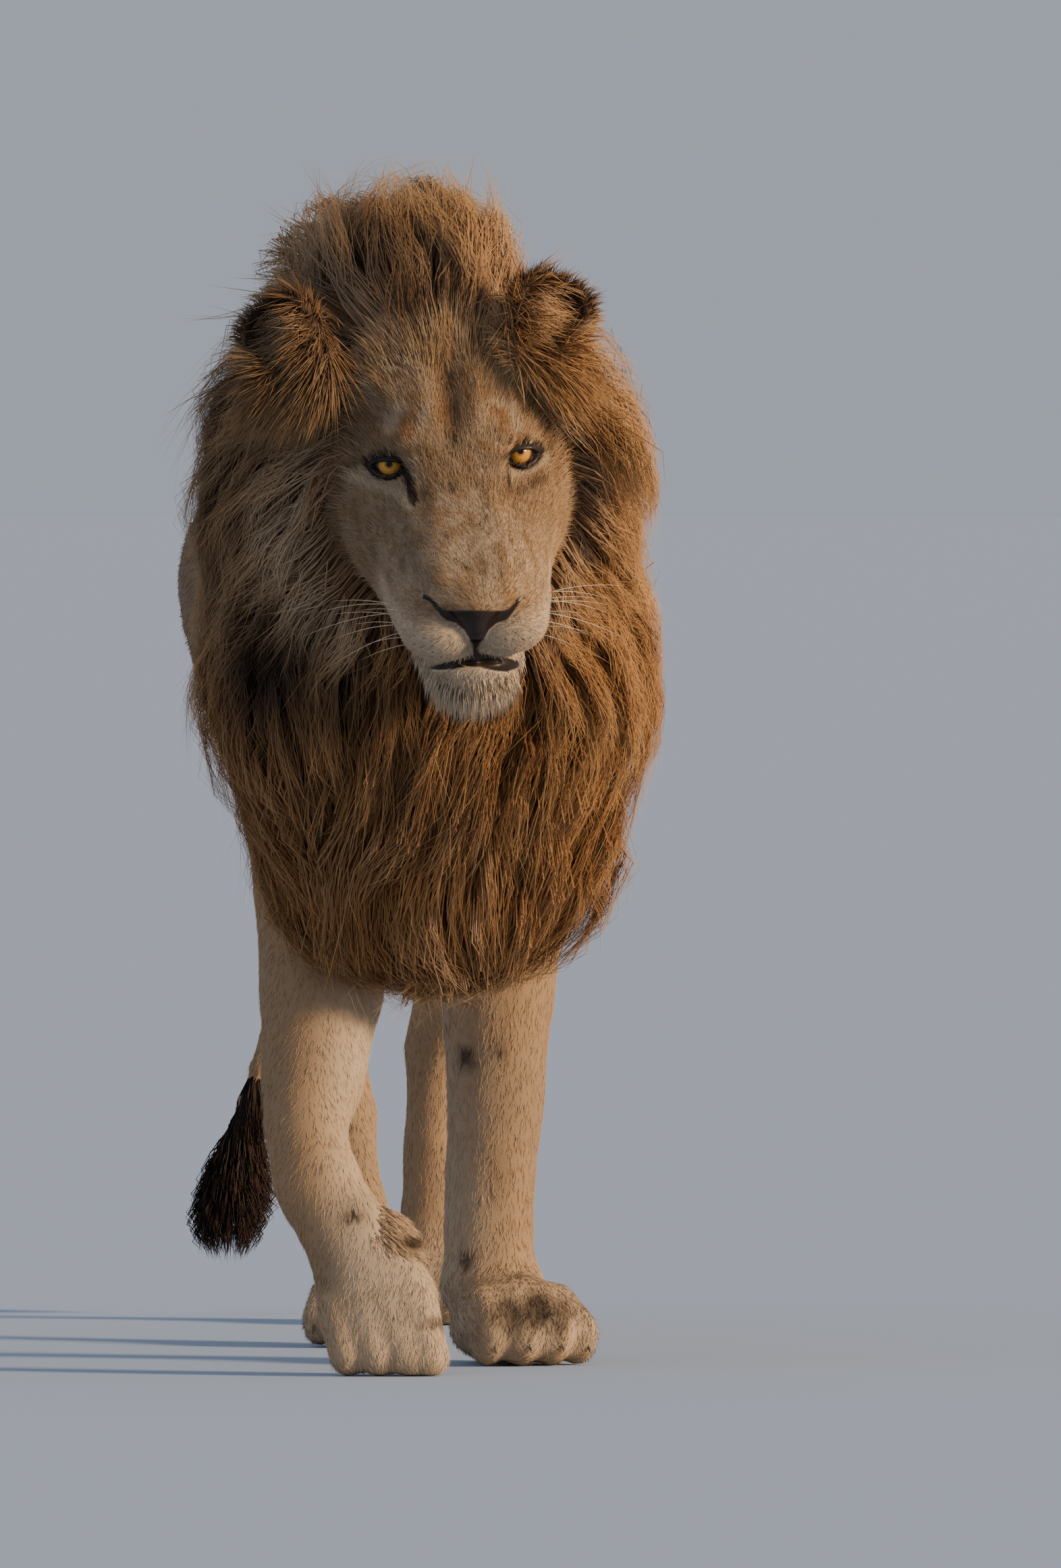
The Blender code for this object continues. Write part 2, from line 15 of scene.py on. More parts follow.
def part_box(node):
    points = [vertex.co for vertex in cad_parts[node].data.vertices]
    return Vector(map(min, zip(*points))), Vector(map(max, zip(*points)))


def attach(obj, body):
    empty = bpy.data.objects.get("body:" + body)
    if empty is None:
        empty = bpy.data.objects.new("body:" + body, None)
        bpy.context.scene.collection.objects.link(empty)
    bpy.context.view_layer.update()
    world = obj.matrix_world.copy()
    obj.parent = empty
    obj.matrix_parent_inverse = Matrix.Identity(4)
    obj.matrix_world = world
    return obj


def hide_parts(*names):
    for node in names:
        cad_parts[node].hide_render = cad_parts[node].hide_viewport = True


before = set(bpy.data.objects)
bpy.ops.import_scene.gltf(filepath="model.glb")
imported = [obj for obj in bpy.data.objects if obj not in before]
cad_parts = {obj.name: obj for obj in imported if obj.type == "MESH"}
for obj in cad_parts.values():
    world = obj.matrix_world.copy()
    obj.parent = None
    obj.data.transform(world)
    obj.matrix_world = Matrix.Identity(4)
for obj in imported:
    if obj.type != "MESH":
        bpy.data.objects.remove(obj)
bpy.context.view_layer.update()
RANDOM = np.random.default_rng(11)

# %% [markdown]
# ## Where the lion stands
# The lion faces -Y with its own left at +X.  Its joints are easiest to give in
# a working space with the floor at zero and the shoulders near the origin, so
# everything is modelled there and moved by one offset at the end.  The offset
# comes from the left eye, whose place on the head is known.

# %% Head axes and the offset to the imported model
HEAD_AT = np.array([0.018, -0.420, 0.9235])
HEAD_PITCH, HEAD_YAW, HEAD_ROLL = (math.radians(a) for a in (35.0, 8.0, -5.5))
EYE_SPACING = 0.1325
EYE_SET_BACK = 0.010
HEAD_TURN = np.array(Matrix.Rotation(HEAD_YAW, 3, "Z") @ Matrix.Rotation(HEAD_PITCH, 3, "X")
                     @ Matrix.Rotation(HEAD_ROLL, 3, "Y"))


def from_head(point):
    """Working-space place of a point given left, back and up of the level head."""
    return HEAD_AT + HEAD_TURN @ np.asarray(point, float)


def to_head(points):
    """Left, back and up of the level head, for many points at once."""
    return (points - HEAD_AT) @ HEAD_TURN


eye_low, eye_high = (np.array(corner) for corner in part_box("eye_left"))
OFFSET = (eye_low + eye_high) / 2 - from_head((EYE_SPACING / 2, EYE_SET_BACK, 0.0))
OFFSET[2] = 0.0
print("offset to the packed model", OFFSET.round(4))

# %% [markdown]
# ## The camera
# A very long lens from far away, level with the lion's face: the picture is
# nearly flat, and the far paws are hardly smaller than the near ones.

# %% Camera
CAMERA_X, CAMERA_DISTANCE, CAMERA_HEIGHT = 0.0932, 22.0, 0.900
AIM_HEIGHT = 0.596
LENS, FILM_HEIGHT = 495.0, 36.0


def place_object(name, data):
    """A new object in the scene."""
    obj = bpy.data.objects.new(name, data)
    bpy.context.scene.collection.objects.link(obj)
    return obj


camera_data = bpy.data.cameras.new("long_lens")
camera_data.sensor_fit = "VERTICAL"
camera_data.sensor_height = FILM_HEIGHT
camera_data.lens = LENS
camera_data.clip_end = 1500.0
camera = place_object("long_lens", camera_data)
camera.location = Vector(OFFSET) + Vector((CAMERA_X, -CAMERA_DISTANCE, CAMERA_HEIGHT))
aim = Vector(OFFSET) + Vector((CAMERA_X, 0.0, AIM_HEIGHT))
camera.rotation_euler = (aim - camera.location).to_track_quat("-Z", "Y").to_euler()
bpy.context.scene.camera = camera
print("camera at", [round(v, 2) for v in camera.location])

# %% [markdown]
# ## Muscles as soft solids
# An animal is a stack of rounded masses: ribs, thigh, calf, toe.  Each one here
# is a hull around two ellipsoids.  A distance to every mass can be worked out
# by a short formula, and a smooth minimum melts them together, with a reach
# that is wide on the trunk and narrow between toes.

# %% A mass and its distance
SIDE = np.array([1.0, 0.0, 0.0])


class Mass:
    """One muscle, bone or pad between two points, with a size at each end."""

    def __init__(self, a, b, size_a, size_b, side=SIDE, blend=0.02):
        self.a, self.b = np.asarray(a, float), np.asarray(b, float)
        along = self.b - self.a
        if np.linalg.norm(along) < 1e-5:
            along = np.array([0.0, 1.0, 0.0])
            self.b = self.a + along * 1e-5
        w = along / np.linalg.norm(along)
        u = side - w * np.dot(side, w)
        u /= np.linalg.norm(u)
        self.axes = np.array([u, np.cross(w, u), w])
        self.size_a = np.array([*size_a, sum(size_a) / 2])
        self.size_b = np.array([*size_b, sum(size_b) / 2])
        self.blend = blend

    def distance(self, points):
        """Signed distance, good near the surface."""
        line = self.b - self.a
        t = np.clip((points - self.a) @ line / (line @ line), 0.0, 1.0)
        local = (points - self.a - t[:, None] * line) @ self.axes.T
        size = self.size_a + (self.size_b - self.size_a) * t[:, None]
        near = np.linalg.norm(local / size, axis=1)
        steep = np.maximum(np.linalg.norm(local / size ** 2, axis=1), 1e-6)
        inside = -np.minimum(self.size_a, self.size_b).min()
        return np.where(near > 1e-4, near * (near - 1.0) / steep, inside)

    def box(self, spare):
        reach = max(self.size_a.max(), self.size_b.max()) + spare
        return np.minimum(self.a, self.b) - reach, np.maximum(self.a, self.b) + reach


def chain(stations, side=SIDE, blend=0.02):
    """Masses through a list of (x, y, z, half width, half thickness)."""
    return [Mass(s[:3], e[:3], s[3:], e[3:], side, blend) for s, e in zip(stations, stations[1:])]


def smooth_min(a, b, reach):
    """The smaller of two distances, rounded where they are alike."""
    h = np.maximum(reach - np.abs(a - b), 0.0) / reach
    return np.minimum(a, b) - h * h * reach / 4


def smooth_max(a, b, reach):
    return -smooth_min(-a, -b, reach)


def melt(points, masses, far=0.15):
    """Distance to all the masses melted together."""
    out = np.full(len(points), far)
    for mass in masses:
        low, high = mass.box(mass.blend + 0.02)
        near = np.nonzero(((points > low) & (points < high)).all(axis=1))[0]
        if len(near):
            out[near] = smooth_min(out[near], mass.distance(points[near]), mass.blend)
    return out


def ramp(value, low, high):
    """0 below low, 1 above high, and smooth between."""
    t = np.clip((value - low) / (high - low), 0.0, 1.0)
    return t * t * (3 - 2 * t)


def unit(vectors):
    return vectors / np.maximum(np.linalg.norm(vectors, axis=-1, keepdims=True), 1e-9)


# %% [markdown]
# ## The body under the coat
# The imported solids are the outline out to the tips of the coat.  The flesh is
# the same set of masses, thinner by the depth of the coat: a few millimetres
# on the face, paws and trunk, and five centimetres under the mane.

# %% Trunk and legs
BODY_COAT, LEG_COAT, PAW_COAT, FACE_COAT, MANE_DEPTH = 0.006, 0.004, 0.003, 0.002, 0.050
WITHERS_HEIGHT = 1.08
CHEST_HALF_WIDTH, CHEST_HALF_DEPTH, LOIN_HALF_WIDTH = 0.185, 0.245, 0.172
RUMP_END = 1.14


def thinner(masses, coat):
    """The same masses with the coat's depth taken off."""
    for mass in masses:
        mass.size_a = np.maximum(mass.size_a - coat, 0.006)
        mass.size_b = np.maximum(mass.size_b - coat, 0.006)
    return masses


def trunk_masses():
    w, d, top = CHEST_HALF_WIDTH, CHEST_HALF_DEPTH, WITHERS_HEIGHT
    body = chain([
        (-0.028, 0.00, 0.800, w * 0.78, d * 0.84),
        (-0.036, 0.20, 0.812, w * 0.95, d),
        (-0.056, 0.48, 0.800, w * 1.02, d * 0.97),
        (-0.076, 0.76, 0.824, LOIN_HALF_WIDTH, 0.184),
        (-0.088, 0.97, 0.836, 0.148, 0.172),
        (-0.094, RUMP_END - 0.09, 0.860, 0.100, 0.120),
    ], blend=0.025)
    spine = chain([
        (-0.030, 0.06, top - 0.060, 0.062, 0.060),
        (-0.042, 0.26, top - 0.072, 0.070, 0.060),
        (-0.066, 0.60, top - 0.090, 0.080, 0.060),
        (-0.088, 0.92, top - 0.090, 0.078, 0.060),
        (-0.094, RUMP_END - 0.06, top - 0.150, 0.060, 0.055),
    ], blend=0.07)
    belly = chain([
        (-0.045, 0.30, 0.660, 0.110, 0.085),
        (-0.066, 0.60, 0.682, 0.118, 0.085),
        (-0.080, 0.84, 0.732, 0.090, 0.075),
    ], blend=0.06)
    return thinner(body + spine + belly, BODY_COAT)


def shoulder_masses():
    made = []
    for s, point_y, elbow in ((1, -0.035, (0.072, 0.135, 0.515)), (-1, -0.060, (-0.122, 0.055, 0.500))):
        blade = (-0.032 + s * 0.085, 0.150, 0.985)
        point = (-0.024 + s * 0.128, point_y, 0.715)
        made.append(Mass(blade, point, (0.062, 0.095), (0.066, 0.088), blend=0.05))
        made.append(Mass(point, elbow, (0.066, 0.088), (0.068, 0.078), blend=0.045))
    return thinner(made, BODY_COAT)


def standing_foreleg():
    """The left foreleg: a straight column, wrist bones and tendon showing."""
    made = chain([
        (0.072, 0.135, 0.515, 0.070, 0.080), (0.058, 0.140, 0.383, 0.0635, 0.070),
        (0.058, 0.145, 0.270, 0.0535, 0.058), (0.052, 0.150, 0.190, 0.0505, 0.052),
        (0.050, 0.152, 0.140, 0.0505, 0.050), (0.052, 0.145, 0.085, 0.0530, 0.046),
    ], blend=0.010)
    return thinner(made, LEG_COAT)


def swinging_foreleg():
    """The right foreleg: lifted, with the wrist folded."""
    made = chain([
        (-0.122, 0.055, 0.500, 0.072, 0.082), (-0.120, -0.015, 0.385, 0.0665, 0.070),
        (-0.128, -0.075, 0.302, 0.0570, 0.058), (-0.136, -0.120, 0.245, 0.0450, 0.050),
        (-0.124, -0.155, 0.195, 0.0480, 0.048),
    ], blend=0.012)
    return thinner(made, LEG_COAT)


# %% Paws
FOREPAW_WIDTH, HINDPAW_WIDTH = 0.140, 0.122
TOES = []


def paw(wrist, knuckles, toes_to, across, width, depth, toe_length):
    """A back of the hand and four toes side by side; the middle two reach further."""
    wrist, knuckles, toes_to = (np.asarray(p, float) for p in (wrist, knuckles, toes_to))
    across = unit(np.asarray(across, float))
    ahead = unit(toes_to - knuckles)
    half = width / 2
    made = [Mass(wrist, knuckles, (half * 0.68, depth * 0.50), (half * 0.80, depth * 0.48), across, 0.02)]
    made.append(Mass(knuckles, knuckles + ahead * toe_length * 0.45, (half * 0.84, depth * 0.47),
                     (half * 0.80, depth * 0.36), across, 0.015))
    toe = half * 0.300
    for place, reach in ((-0.72, 0.80), (-0.25, 1.0), (0.25, 1.0), (0.72, 0.80)):
        root = knuckles + across * (place * half * 0.88)
        tip = root + ahead * (toe_length * reach) + across * (place * half * 0.10)
        tip[2] = toes_to[2]
        made.append(Mass(root, tip, (toe, depth * 0.44), (toe * 1.02, depth * 0.42), across, 0.0165))
        TOES.append((root, tip, across, toe, depth))
    return made


def turned(degrees):
    """Ahead and across on the floor for a paw turned out by so many degrees."""
    turn = math.radians(degrees)
    ahead = np.array([math.sin(turn), -math.cos(turn), 0.0])
    return ahead, np.array([math.cos(turn), math.sin(turn), 0.0])


def left_forepaw():
    ahead, across = turned(24.0)
    wrist = np.array([0.052, 0.145, 0.075])
    knuckles = wrist + ahead * 0.060 + np.array([0.004, 0.0, -0.026])
    made = paw(wrist, knuckles, knuckles + ahead * 0.05 - [0, 0, 0.020], across,
               FOREPAW_WIDTH, 0.078, 0.052)
    heel = wrist + ahead * 0.010 - [0, 0, 0.040]
    made.append(Mass(heel, heel + ahead * 0.05, (0.050, 0.036), (0.055, 0.034), across, 0.015))
    return thinner(made, PAW_COAT)


def right_forepaw():
    wrist, knuckles, tips = (-0.122, -0.158, 0.188), (-0.064, -0.190, 0.082), (-0.045, -0.205, 0.022)
    along = unit(np.subtract(tips, wrist))
    across = np.array([-along[2], 0.0, along[0]])
    made = paw(wrist, knuckles, tips, across, FOREPAW_WIDTH * 0.95, 0.074, 0.058)
    made.append(Mass((-0.075, -0.165, 0.148), (-0.046, -0.160, 0.138), (0.032, 0.034), (0.026, 0.026),
                     blend=0.02))
    return thinner(made, PAW_COAT)


def hind_leg(hip, knee, hock, knuckles, thigh_width, knee_width):
    """Thigh, second thigh and the long foot down to the knuckles."""
    hip, knee, hock, knuckles = (np.asarray(p, float) for p in (hip, knee, hock, knuckles))
    calf = knee + (hock - knee) * 0.35 + [0.0, 0.022, 0.0]
    middle = (hock + knuckles) / 2
    made = [
        Mass(hip, knee, (thigh_width, 0.150), (knee_width * 0.90, 0.074), blend=0.04),
        Mass(hip + [0, 0.06, -0.04], calf, (thigh_width * 0.80, 0.110), (0.047, 0.062), blend=0.035),
        Mass(knee, calf, (knee_width * 0.88, 0.073), (0.047, 0.062), blend=0.03),
        Mass(calf, hock, (0.047, 0.062), (0.032, 0.040), blend=0.03),
        Mass(hock, middle, (0.034, 0.043), (0.033, 0.034), blend=0.02),
        Mass(middle, knuckles, (0.033, 0.034), (0.044, 0.036), blend=0.02),
    ]
    return thinner(made, LEG_COAT)


def hind_paw(knuckles, degrees, lift):
    knuckles = np.asarray(knuckles, float)
    ahead, across = turned(degrees)
    start = knuckles + ahead * 0.035 - [0, 0, lift]
    made = paw(knuckles, start, start + ahead * 0.05 - [0, 0, 0.016], across, HINDPAW_WIDTH, 0.070, 0.048)
    pad = start - [0, 0, 0.014]
    made.append(Mass(pad, pad + ahead * 0.02, (0.042, 0.032), (0.045, 0.030), across, 0.015))
    return thinner(made, PAW_COAT)


RIGHT_KNUCKLES, LEFT_KNUCKLES = (-0.078, 0.590, 0.062), (-0.016, 1.190, 0.066)
LEG_MASSES = (standing_foreleg() + swinging_foreleg() + left_forepaw() + right_forepaw()
              + hind_leg((-0.186, 0.930, 0.790), (-0.150, 0.730, 0.545), (-0.100, 0.715, 0.235),
                         RIGHT_KNUCKLES, 0.098, 0.062)
              + hind_leg((0.012, 0.970, 0.785), (0.030, 0.900, 0.535), (-0.010, 1.170, 0.305),
                         LEFT_KNUCKLES, 0.092, 0.068)
              + hind_paw(RIGHT_KNUCKLES, -6.0, 0.018) + hind_paw(LEFT_KNUCKLES, 4.0, 0.022))
BODY_MASSES = trunk_masses() + shoulder_masses()
print("trunk masses", len(BODY_MASSES), "leg masses", len(LEG_MASSES))

# %% Tail
TAIL_THICKNESS = 0.052
TAIL_LINE = [
    (-0.094, 1.080, 0.945), (-0.098, 1.165, 0.915), (-0.104, 1.235, 0.830),
    (-0.114, 1.285, 0.700), (-0.132, 1.325, 0.560), (-0.158, 1.360, 0.420),
    (-0.192, 1.390, 0.300), (-0.222, 1.410, 0.215), (-0.236, 1.420, 0.140), (-0.240, 1.423, 0.100),
]


def tail_masses():
    last = len(TAIL_LINE) - 1
    stations = []
    for i, place in enumerate(TAIL_LINE):
        r = TAIL_THICKNESS / 2 * (1.25 - 0.64 * min(1.0, i / (last - 2)))
        stations.append((*place, r, r))
    return thinner(chain(stations, blend=0.004), LEG_COAT)


TAIL_MASSES = tail_masses()

# %% [markdown]
# ## The head
# Wide cheekbones, a long straight nose bridge that runs flat into the
# forehead, two full whisker pads and a square chin make a lion's face.  The
# points are left, back and up from between the eyes, with the head level.

# %% Skull, cheeks, muzzle and chin
NOSE_REACH = 0.180
CHEEK_HALF_WIDTH = 0.128
HEAD_SIDE = HEAD_TURN @ SIDE


def head_mass(a, b, size_a, size_b, blend=0.022):
    return Mass(from_head(a), from_head(b), size_a, size_b, HEAD_SIDE, blend)


def head_masses():
    reach, cheek = -NOSE_REACH, CHEEK_HALF_WIDTH
    made = [
        head_mass((0, 0.030, -0.005), (0, 0.125, 0.024), (0.076, 0.046), (0.086, 0.062), 0.03),
        head_mass((0, 0.125, 0.010), (0, 0.200, 0.000), (0.090, 0.072), (0.100, 0.090), 0.03),
        head_mass((0, reach + 0.040, -0.050), (0, -0.020, -0.024), (0.046, 0.026), (0.052, 0.044), 0.02),
        head_mass((0, reach + 0.026, -0.049), (0, reach + 0.046, -0.048),
                  (0.042, 0.015), (0.045, 0.020), 0.012),
        head_mass((0, reach + 0.008, -0.062), (0, reach + 0.010, -0.084),
                  (0.022, 0.014), (0.012, 0.013), 0.012),
        head_mass((0, -0.136, -0.140), (0, -0.040, -0.130), (0.050, 0.040), (0.068, 0.048), 0.012),
        head_mass((0, -0.060, -0.085), (0, 0.060, -0.085), (0.070, 0.058), (0.100, 0.078), 0.03),
    ]
    for s in (1, -1):
        made += [
            head_mass((s * 0.035, -0.146, -0.090), (s * 0.048, -0.070, -0.090),
                      (0.041, 0.037), (0.038, 0.048), 0.010),
            head_mass((s * 0.036, -0.110, -0.056), (s * 0.046, -0.040, -0.044),
                      (0.032, 0.034), (0.034, 0.036), 0.035),
            head_mass((s * 0.034, 0.000, 0.010), (s * 0.050, 0.075, 0.030),
                      (0.030, 0.017), (0.042, 0.032), 0.035),
            head_mass((s * 0.060, -0.010, -0.052), (s * (cheek - 0.040), 0.075, -0.046),
                      (0.032, 0.030), (0.040, 0.050), 0.045),
            head_mass((s * 0.053, -0.030, -0.100), (s * (cheek - 0.042), 0.085, -0.095),
                      (0.035, 0.048), (0.046, 0.066), 0.03),
        ]
    return thinner(made, FACE_COAT)


HEAD_MASSES = head_masses()
print("head masses", len(HEAD_MASSES))

# %% [markdown]
# ## The mane's outline
# The mane is shaped as a volume first: crest, ruff and bib.  Its surface later
# guides every hair, and the same masses sunk by the mane's depth are the neck
# and chest below it.

# %% Mane volume and the neck inside it
MANE_HALF_WIDTH = 0.222


def mane_masses():
    w = MANE_HALF_WIDTH
    crest = chain([
        (-0.006, -0.340, 1.070, 0.070, 0.058), (-0.024, -0.230, 1.118, 0.094, 0.078),
        (-0.048, -0.040, 1.100, 0.125, 0.080), (-0.044, 0.130, 1.050, 0.110, 0.072),
    ], blend=0.06)
    core = [
        Mass((-0.010, -0.215, 0.920), (-0.034, 0.060, 0.860), (w * 0.92, 0.205), (w * 0.86, 0.235)),
        Mass((-0.012, -0.250, 0.905), (-0.008, -0.215, 0.700), (w * 0.98, 0.120), (w, 0.125)),
        Mass((-0.008, -0.215, 0.700), (0.002, -0.130, 0.545), (w, 0.125), (0.180, 0.098)),
        Mass((0.001, -0.140, 0.575), (0.001, -0.112, 0.505), (0.172, 0.085), (0.162, 0.046)),
        Mass((0.012, -0.300, 0.770), (0.006, -0.250, 0.660), (0.130, 0.080), (0.140, 0.085)),
        Mass((-0.110, -0.160, 1.035), (-0.100, 0.020, 1.000), (0.078, 0.075), (0.080, 0.080)),
        Mass((0.094, -0.255, 0.975), (0.144, -0.090, 0.740), (0.074, 0.080), (0.070, 0.130)),
        Mass((-0.138, -0.255, 0.990), (-0.164, -0.090, 0.740), (0.088, 0.085), (0.070, 0.130)),
    ]
    for mass in core:
        mass.blend = 0.05
    return crest + core


MANE_MASSES = mane_masses()
NECK_MASSES = thinner(mane_masses(), MANE_DEPTH)


def mane_depth(points):
    """How far below the mane's outline points lie; negative outside it."""
    return -melt(points, MANE_MASSES)


print("mane masses", len(MANE_MASSES))

# %% Ears
EAR_RADIUS = 0.046
EARS = {
    1: ((0.1150, -0.372, 1.078), (0.20, -0.93, 0.30), (0.42, 0.0, 0.91)),
    -1: ((-0.1600, -0.378, 1.056), (-0.40, -0.86, 0.26), (-0.62, 0.0, 0.78)),
}
EAR_SHELLS, EAR_SCOOPS, EAR_FRAMES = [], [], {}
for ear_side, (ear_centre, ear_opening, ear_upward) in EARS.items():
    ear_centre = np.array(ear_centre)
    ear_open = unit(np.array(ear_opening))
    ear_up = unit(np.array(ear_upward) - ear_open * np.dot(ear_upward, ear_open))
    ear_across = np.cross(ear_up, ear_open)
    ear_root = ear_centre - ear_up * (EAR_RADIUS * 1.15)
    EAR_SHELLS.append(Mass(ear_root, ear_centre, (EAR_RADIUS * 0.72, 0.022),
                           (EAR_RADIUS * 0.93, 0.024), ear_across, 0.012))
    scoop_at = ear_centre + ear_open * 0.032
    EAR_SCOOPS.append(Mass(scoop_at - ear_up * 0.036, scoop_at - ear_up * 0.002,
                           (EAR_RADIUS * 0.52, 0.030), (EAR_RADIUS * 0.79, 0.044), ear_across, 0.005))
    EAR_FRAMES[ear_side] = (ear_centre, ear_across, ear_up, ear_open)

# %% [markdown]
# ## The eyes' places
# A lion's eyes sit under a heavy brow and look along the muzzle.  Each eyeball
# is wrapped by a lid shell a few millimetres thick, and the almond opening is
# pressed through that shell.

# %% Eyeballs and lids
EYE_RADIUS = 0.0190
LID_THICKNESS = 0.0034
EYES = {}
for s in (1, -1):
    eye_at = from_head((s * 0.0630, 0.0125, -0.0040))
    eye_axis = unit(HEAD_TURN @ unit(np.array([s * 0.34, -0.86, 0.38])))
    outward = HEAD_TURN @ unit(np.array([s * 1.0, 0.10, -0.03]))
    outward = unit(outward - eye_axis * (outward @ eye_axis))
    lid_up = unit(np.cross(eye_axis, outward) * s)
    lid_up *= np.sign(lid_up[2])
    EYES[s] = (eye_at, outward, lid_up, eye_axis)
LID_SHELLS = [Mass(e[0], e[0] + e[3] * 1e-4, (EYE_RADIUS + LID_THICKNESS,) * 2,
                   (EYE_RADIUS + LID_THICKNESS,) * 2, HEAD_SIDE, 0.008) for e in EYES.values()]
SOCKETS = [Mass(e[0] + e[3] * 0.026, e[0] + e[3] * 0.060, (0.0240, 0.0190), (0.034, 0.034),
                e[1], 0.016) for e in EYES.values()]
# Each opening: half its length, its upper and lower height, and how far it sits inward.
ALMONDS = {1: (0.0196, 0.0080, 0.0094, 0.0008), -1: (0.0200, 0.0070, 0.0090, 0.0000)}


def almond(points, s):
    """Signed distance from the rim of one lid opening; negative inside it."""
    at, outward, lid_up, axis = EYES[s]
    rel = points - at
    half_length, upper_height, lower_height, inward = ALMONDS[s]
    u, v, front = rel @ outward + inward, rel @ lid_up, rel @ axis
    t = np.clip(u / half_length, -1.0, 1.0)
    upper = upper_height * (1 - np.abs(t) ** 2.6)
    lower = -lower_height * (1 - np.abs(t) ** 1.8)
    rim = np.maximum(v - upper, lower - v)
    rim = np.maximum(rim, np.abs(u) - half_length)
    return np.where(front > 0.004, rim, 1.0)


# %% The whole flesh as one distance
EAR_ZONE, EYE_SOCKET_ZONE = 0.11, 0.12
JOINS = ((NECK_MASSES, 0.05), (LEG_MASSES, 0.022), (TAIL_MASSES, 0.03), (HEAD_MASSES, 0.018))


def flesh(points):
    """Distance from the flesh; negative inside it."""
    out = melt(points, BODY_MASSES)
    for masses, reach in JOINS:
        out = smooth_min(out, melt(points, masses), reach)
    for shell, scoop in zip(EAR_SHELLS, EAR_SCOOPS):
        near = np.nonzero(np.linalg.norm(points - shell.b, axis=1) < EAR_ZONE)[0]
        if len(near):
            here = points[near]
            out[near] = smooth_min(out[near], shell.distance(here), 0.012)
            out[near] = smooth_max(out[near], -scoop.distance(here), 0.004)
    near = np.nonzero(np.linalg.norm(points - HEAD_AT, axis=1) < EYE_SOCKET_ZONE)[0]
    if len(near):
        for socket, lid in zip(SOCKETS, LID_SHELLS):
            out[near] = smooth_max(out[near], -socket.distance(points[near]), 0.014)
            out[near] = smooth_min(out[near], lid.distance(points[near]), 0.009)
    return out


def gradient(field, points, step=0.0009):
    """Which way a field grows."""
    out = np.empty_like(points)
    for axis in range(3):
        d = np.zeros(3)
        d[axis] = step
        out[:, axis] = field(points + d) - field(points - d)
    return out / (2 * step)


# %% [markdown]
# ## One skin
# Rough hulls of all the masses are welded by a voxel remesh, which gives an
# even net of quads.  Every corner is then slid onto the smooth distance above,
# and the net is split finer on the face, round the eyes and on the paws.

# %% Rough hulls and their weld
VOXEL = 0.0125


def mesh_from(bm, name):
    """A mesh from a bmesh that is done with."""
    mesh = bpy.data.meshes.new(name)
    bm.to_mesh(mesh)
    bm.free()
    return mesh


def hull_mesh(mass):
    """Hull of the two end ellipsoids of a mass."""
    turn = Matrix(mass.axes.tolist()).transposed().to_4x4()
    bm = bmesh.new()
    for centre, size in ((mass.a, mass.size_a), (mass.b, mass.size_b)):
        place = Matrix.Translation(centre) @ turn @ Matrix.Diagonal((*size, 1.0))
        bmesh.ops.create_icosphere(bm, subdivisions=2, radius=1.0, matrix=place)
    bmesh.ops.delete(bm, geom=bm.faces[:], context="FACES_ONLY")
    bmesh.ops.delete(bm, geom=bm.edges[:], context="EDGES_FACES")
    bmesh.ops.convex_hull(bm, input=bm.verts[:])
    bmesh.ops.delete(bm, geom=[v for v in bm.verts if not v.link_faces], context="VERTS")
    bmesh.ops.recalc_face_normals(bm, faces=bm.faces[:])
    return mesh_from(bm, "hull")


def apply_modifiers(obj):
    """Turn what the modifiers show into the object's own mesh."""
    mesh = bpy.data.meshes.new_from_object(obj.evaluated_get(bpy.context.evaluated_depsgraph_get()))
    obj.modifiers.clear()
    old, obj.data = obj.data, mesh
    bpy.data.meshes.remove(old)


bm = bmesh.new()
for mass in (BODY_MASSES + NECK_MASSES + LEG_MASSES + TAIL_MASSES + HEAD_MASSES + EAR_SHELLS + LID_SHELLS):
    hull = hull_mesh(mass)
    bm.from_mesh(hull)
    bpy.data.meshes.remove(hull)
skin = place_object("skin", mesh_from(bm, "skin"))
weld = skin.modifiers.new("weld", "REMESH")
weld.mode = "VOXEL"
weld.voxel_size = VOXEL
apply_modifiers(skin)
print("welded skin", len(skin.data.vertices), "corners")

# %% Sliding the net onto the smooth distance


def corners(mesh):
    out = np.empty(len(mesh.vertices) * 3, np.float32)
    mesh.vertices.foreach_get("co", out)
    return out.reshape(-1, 3).astype(float)


def set_corners(mesh, points):
    mesh.vertices.foreach_set("co", points.astype(np.float32).ravel())
    mesh.update()


def neighbour_mean(points, edges):
    """Middle of the neighbours of each corner."""
    total, count = np.zeros_like(points), np.zeros(len(points))
    for here, there in ((0, 1), (1, 0)):
        count += np.bincount(edges[:, here], minlength=len(points))
        for axis in range(3):
            total[:, axis] += np.bincount(edges[:, here], weights=points[edges[:, there], axis],
                                          minlength=len(points))
    return total / np.maximum(count, 1.0)[:, None]


def edges_of(mesh):
    out = np.empty(len(mesh.edges) * 2, np.int32)
    mesh.edges.foreach_get("vertices", out)
    return out.reshape(-1, 2)


def slide_onto(mesh, field, rounds, relax=0.5, longest=0.012, zone=None):
    """Even the net out, and bring every corner (or those in a zone) to the field's zero."""
    points, edges = corners(mesh), edges_of(mesh)
    moving = np.arange(len(points)) if zone is None else np.nonzero(zone(points))[0]
    for turn in range(rounds):
        if turn < rounds - 1:
            points[moving] += (neighbour_mean(points, edges)[moving] - points[moving]) * relax
        here = points[moving]
        slope = gradient(field, here)
        step = -slope * (field(here) / np.maximum((slope ** 2).sum(axis=1), 0.25))[:, None]
        length = np.linalg.norm(step, axis=1, keepdims=True)
        points[moving] = here + step * np.minimum(1.0, longest / np.maximum(length, 1e-9))
    set_corners(mesh, points)


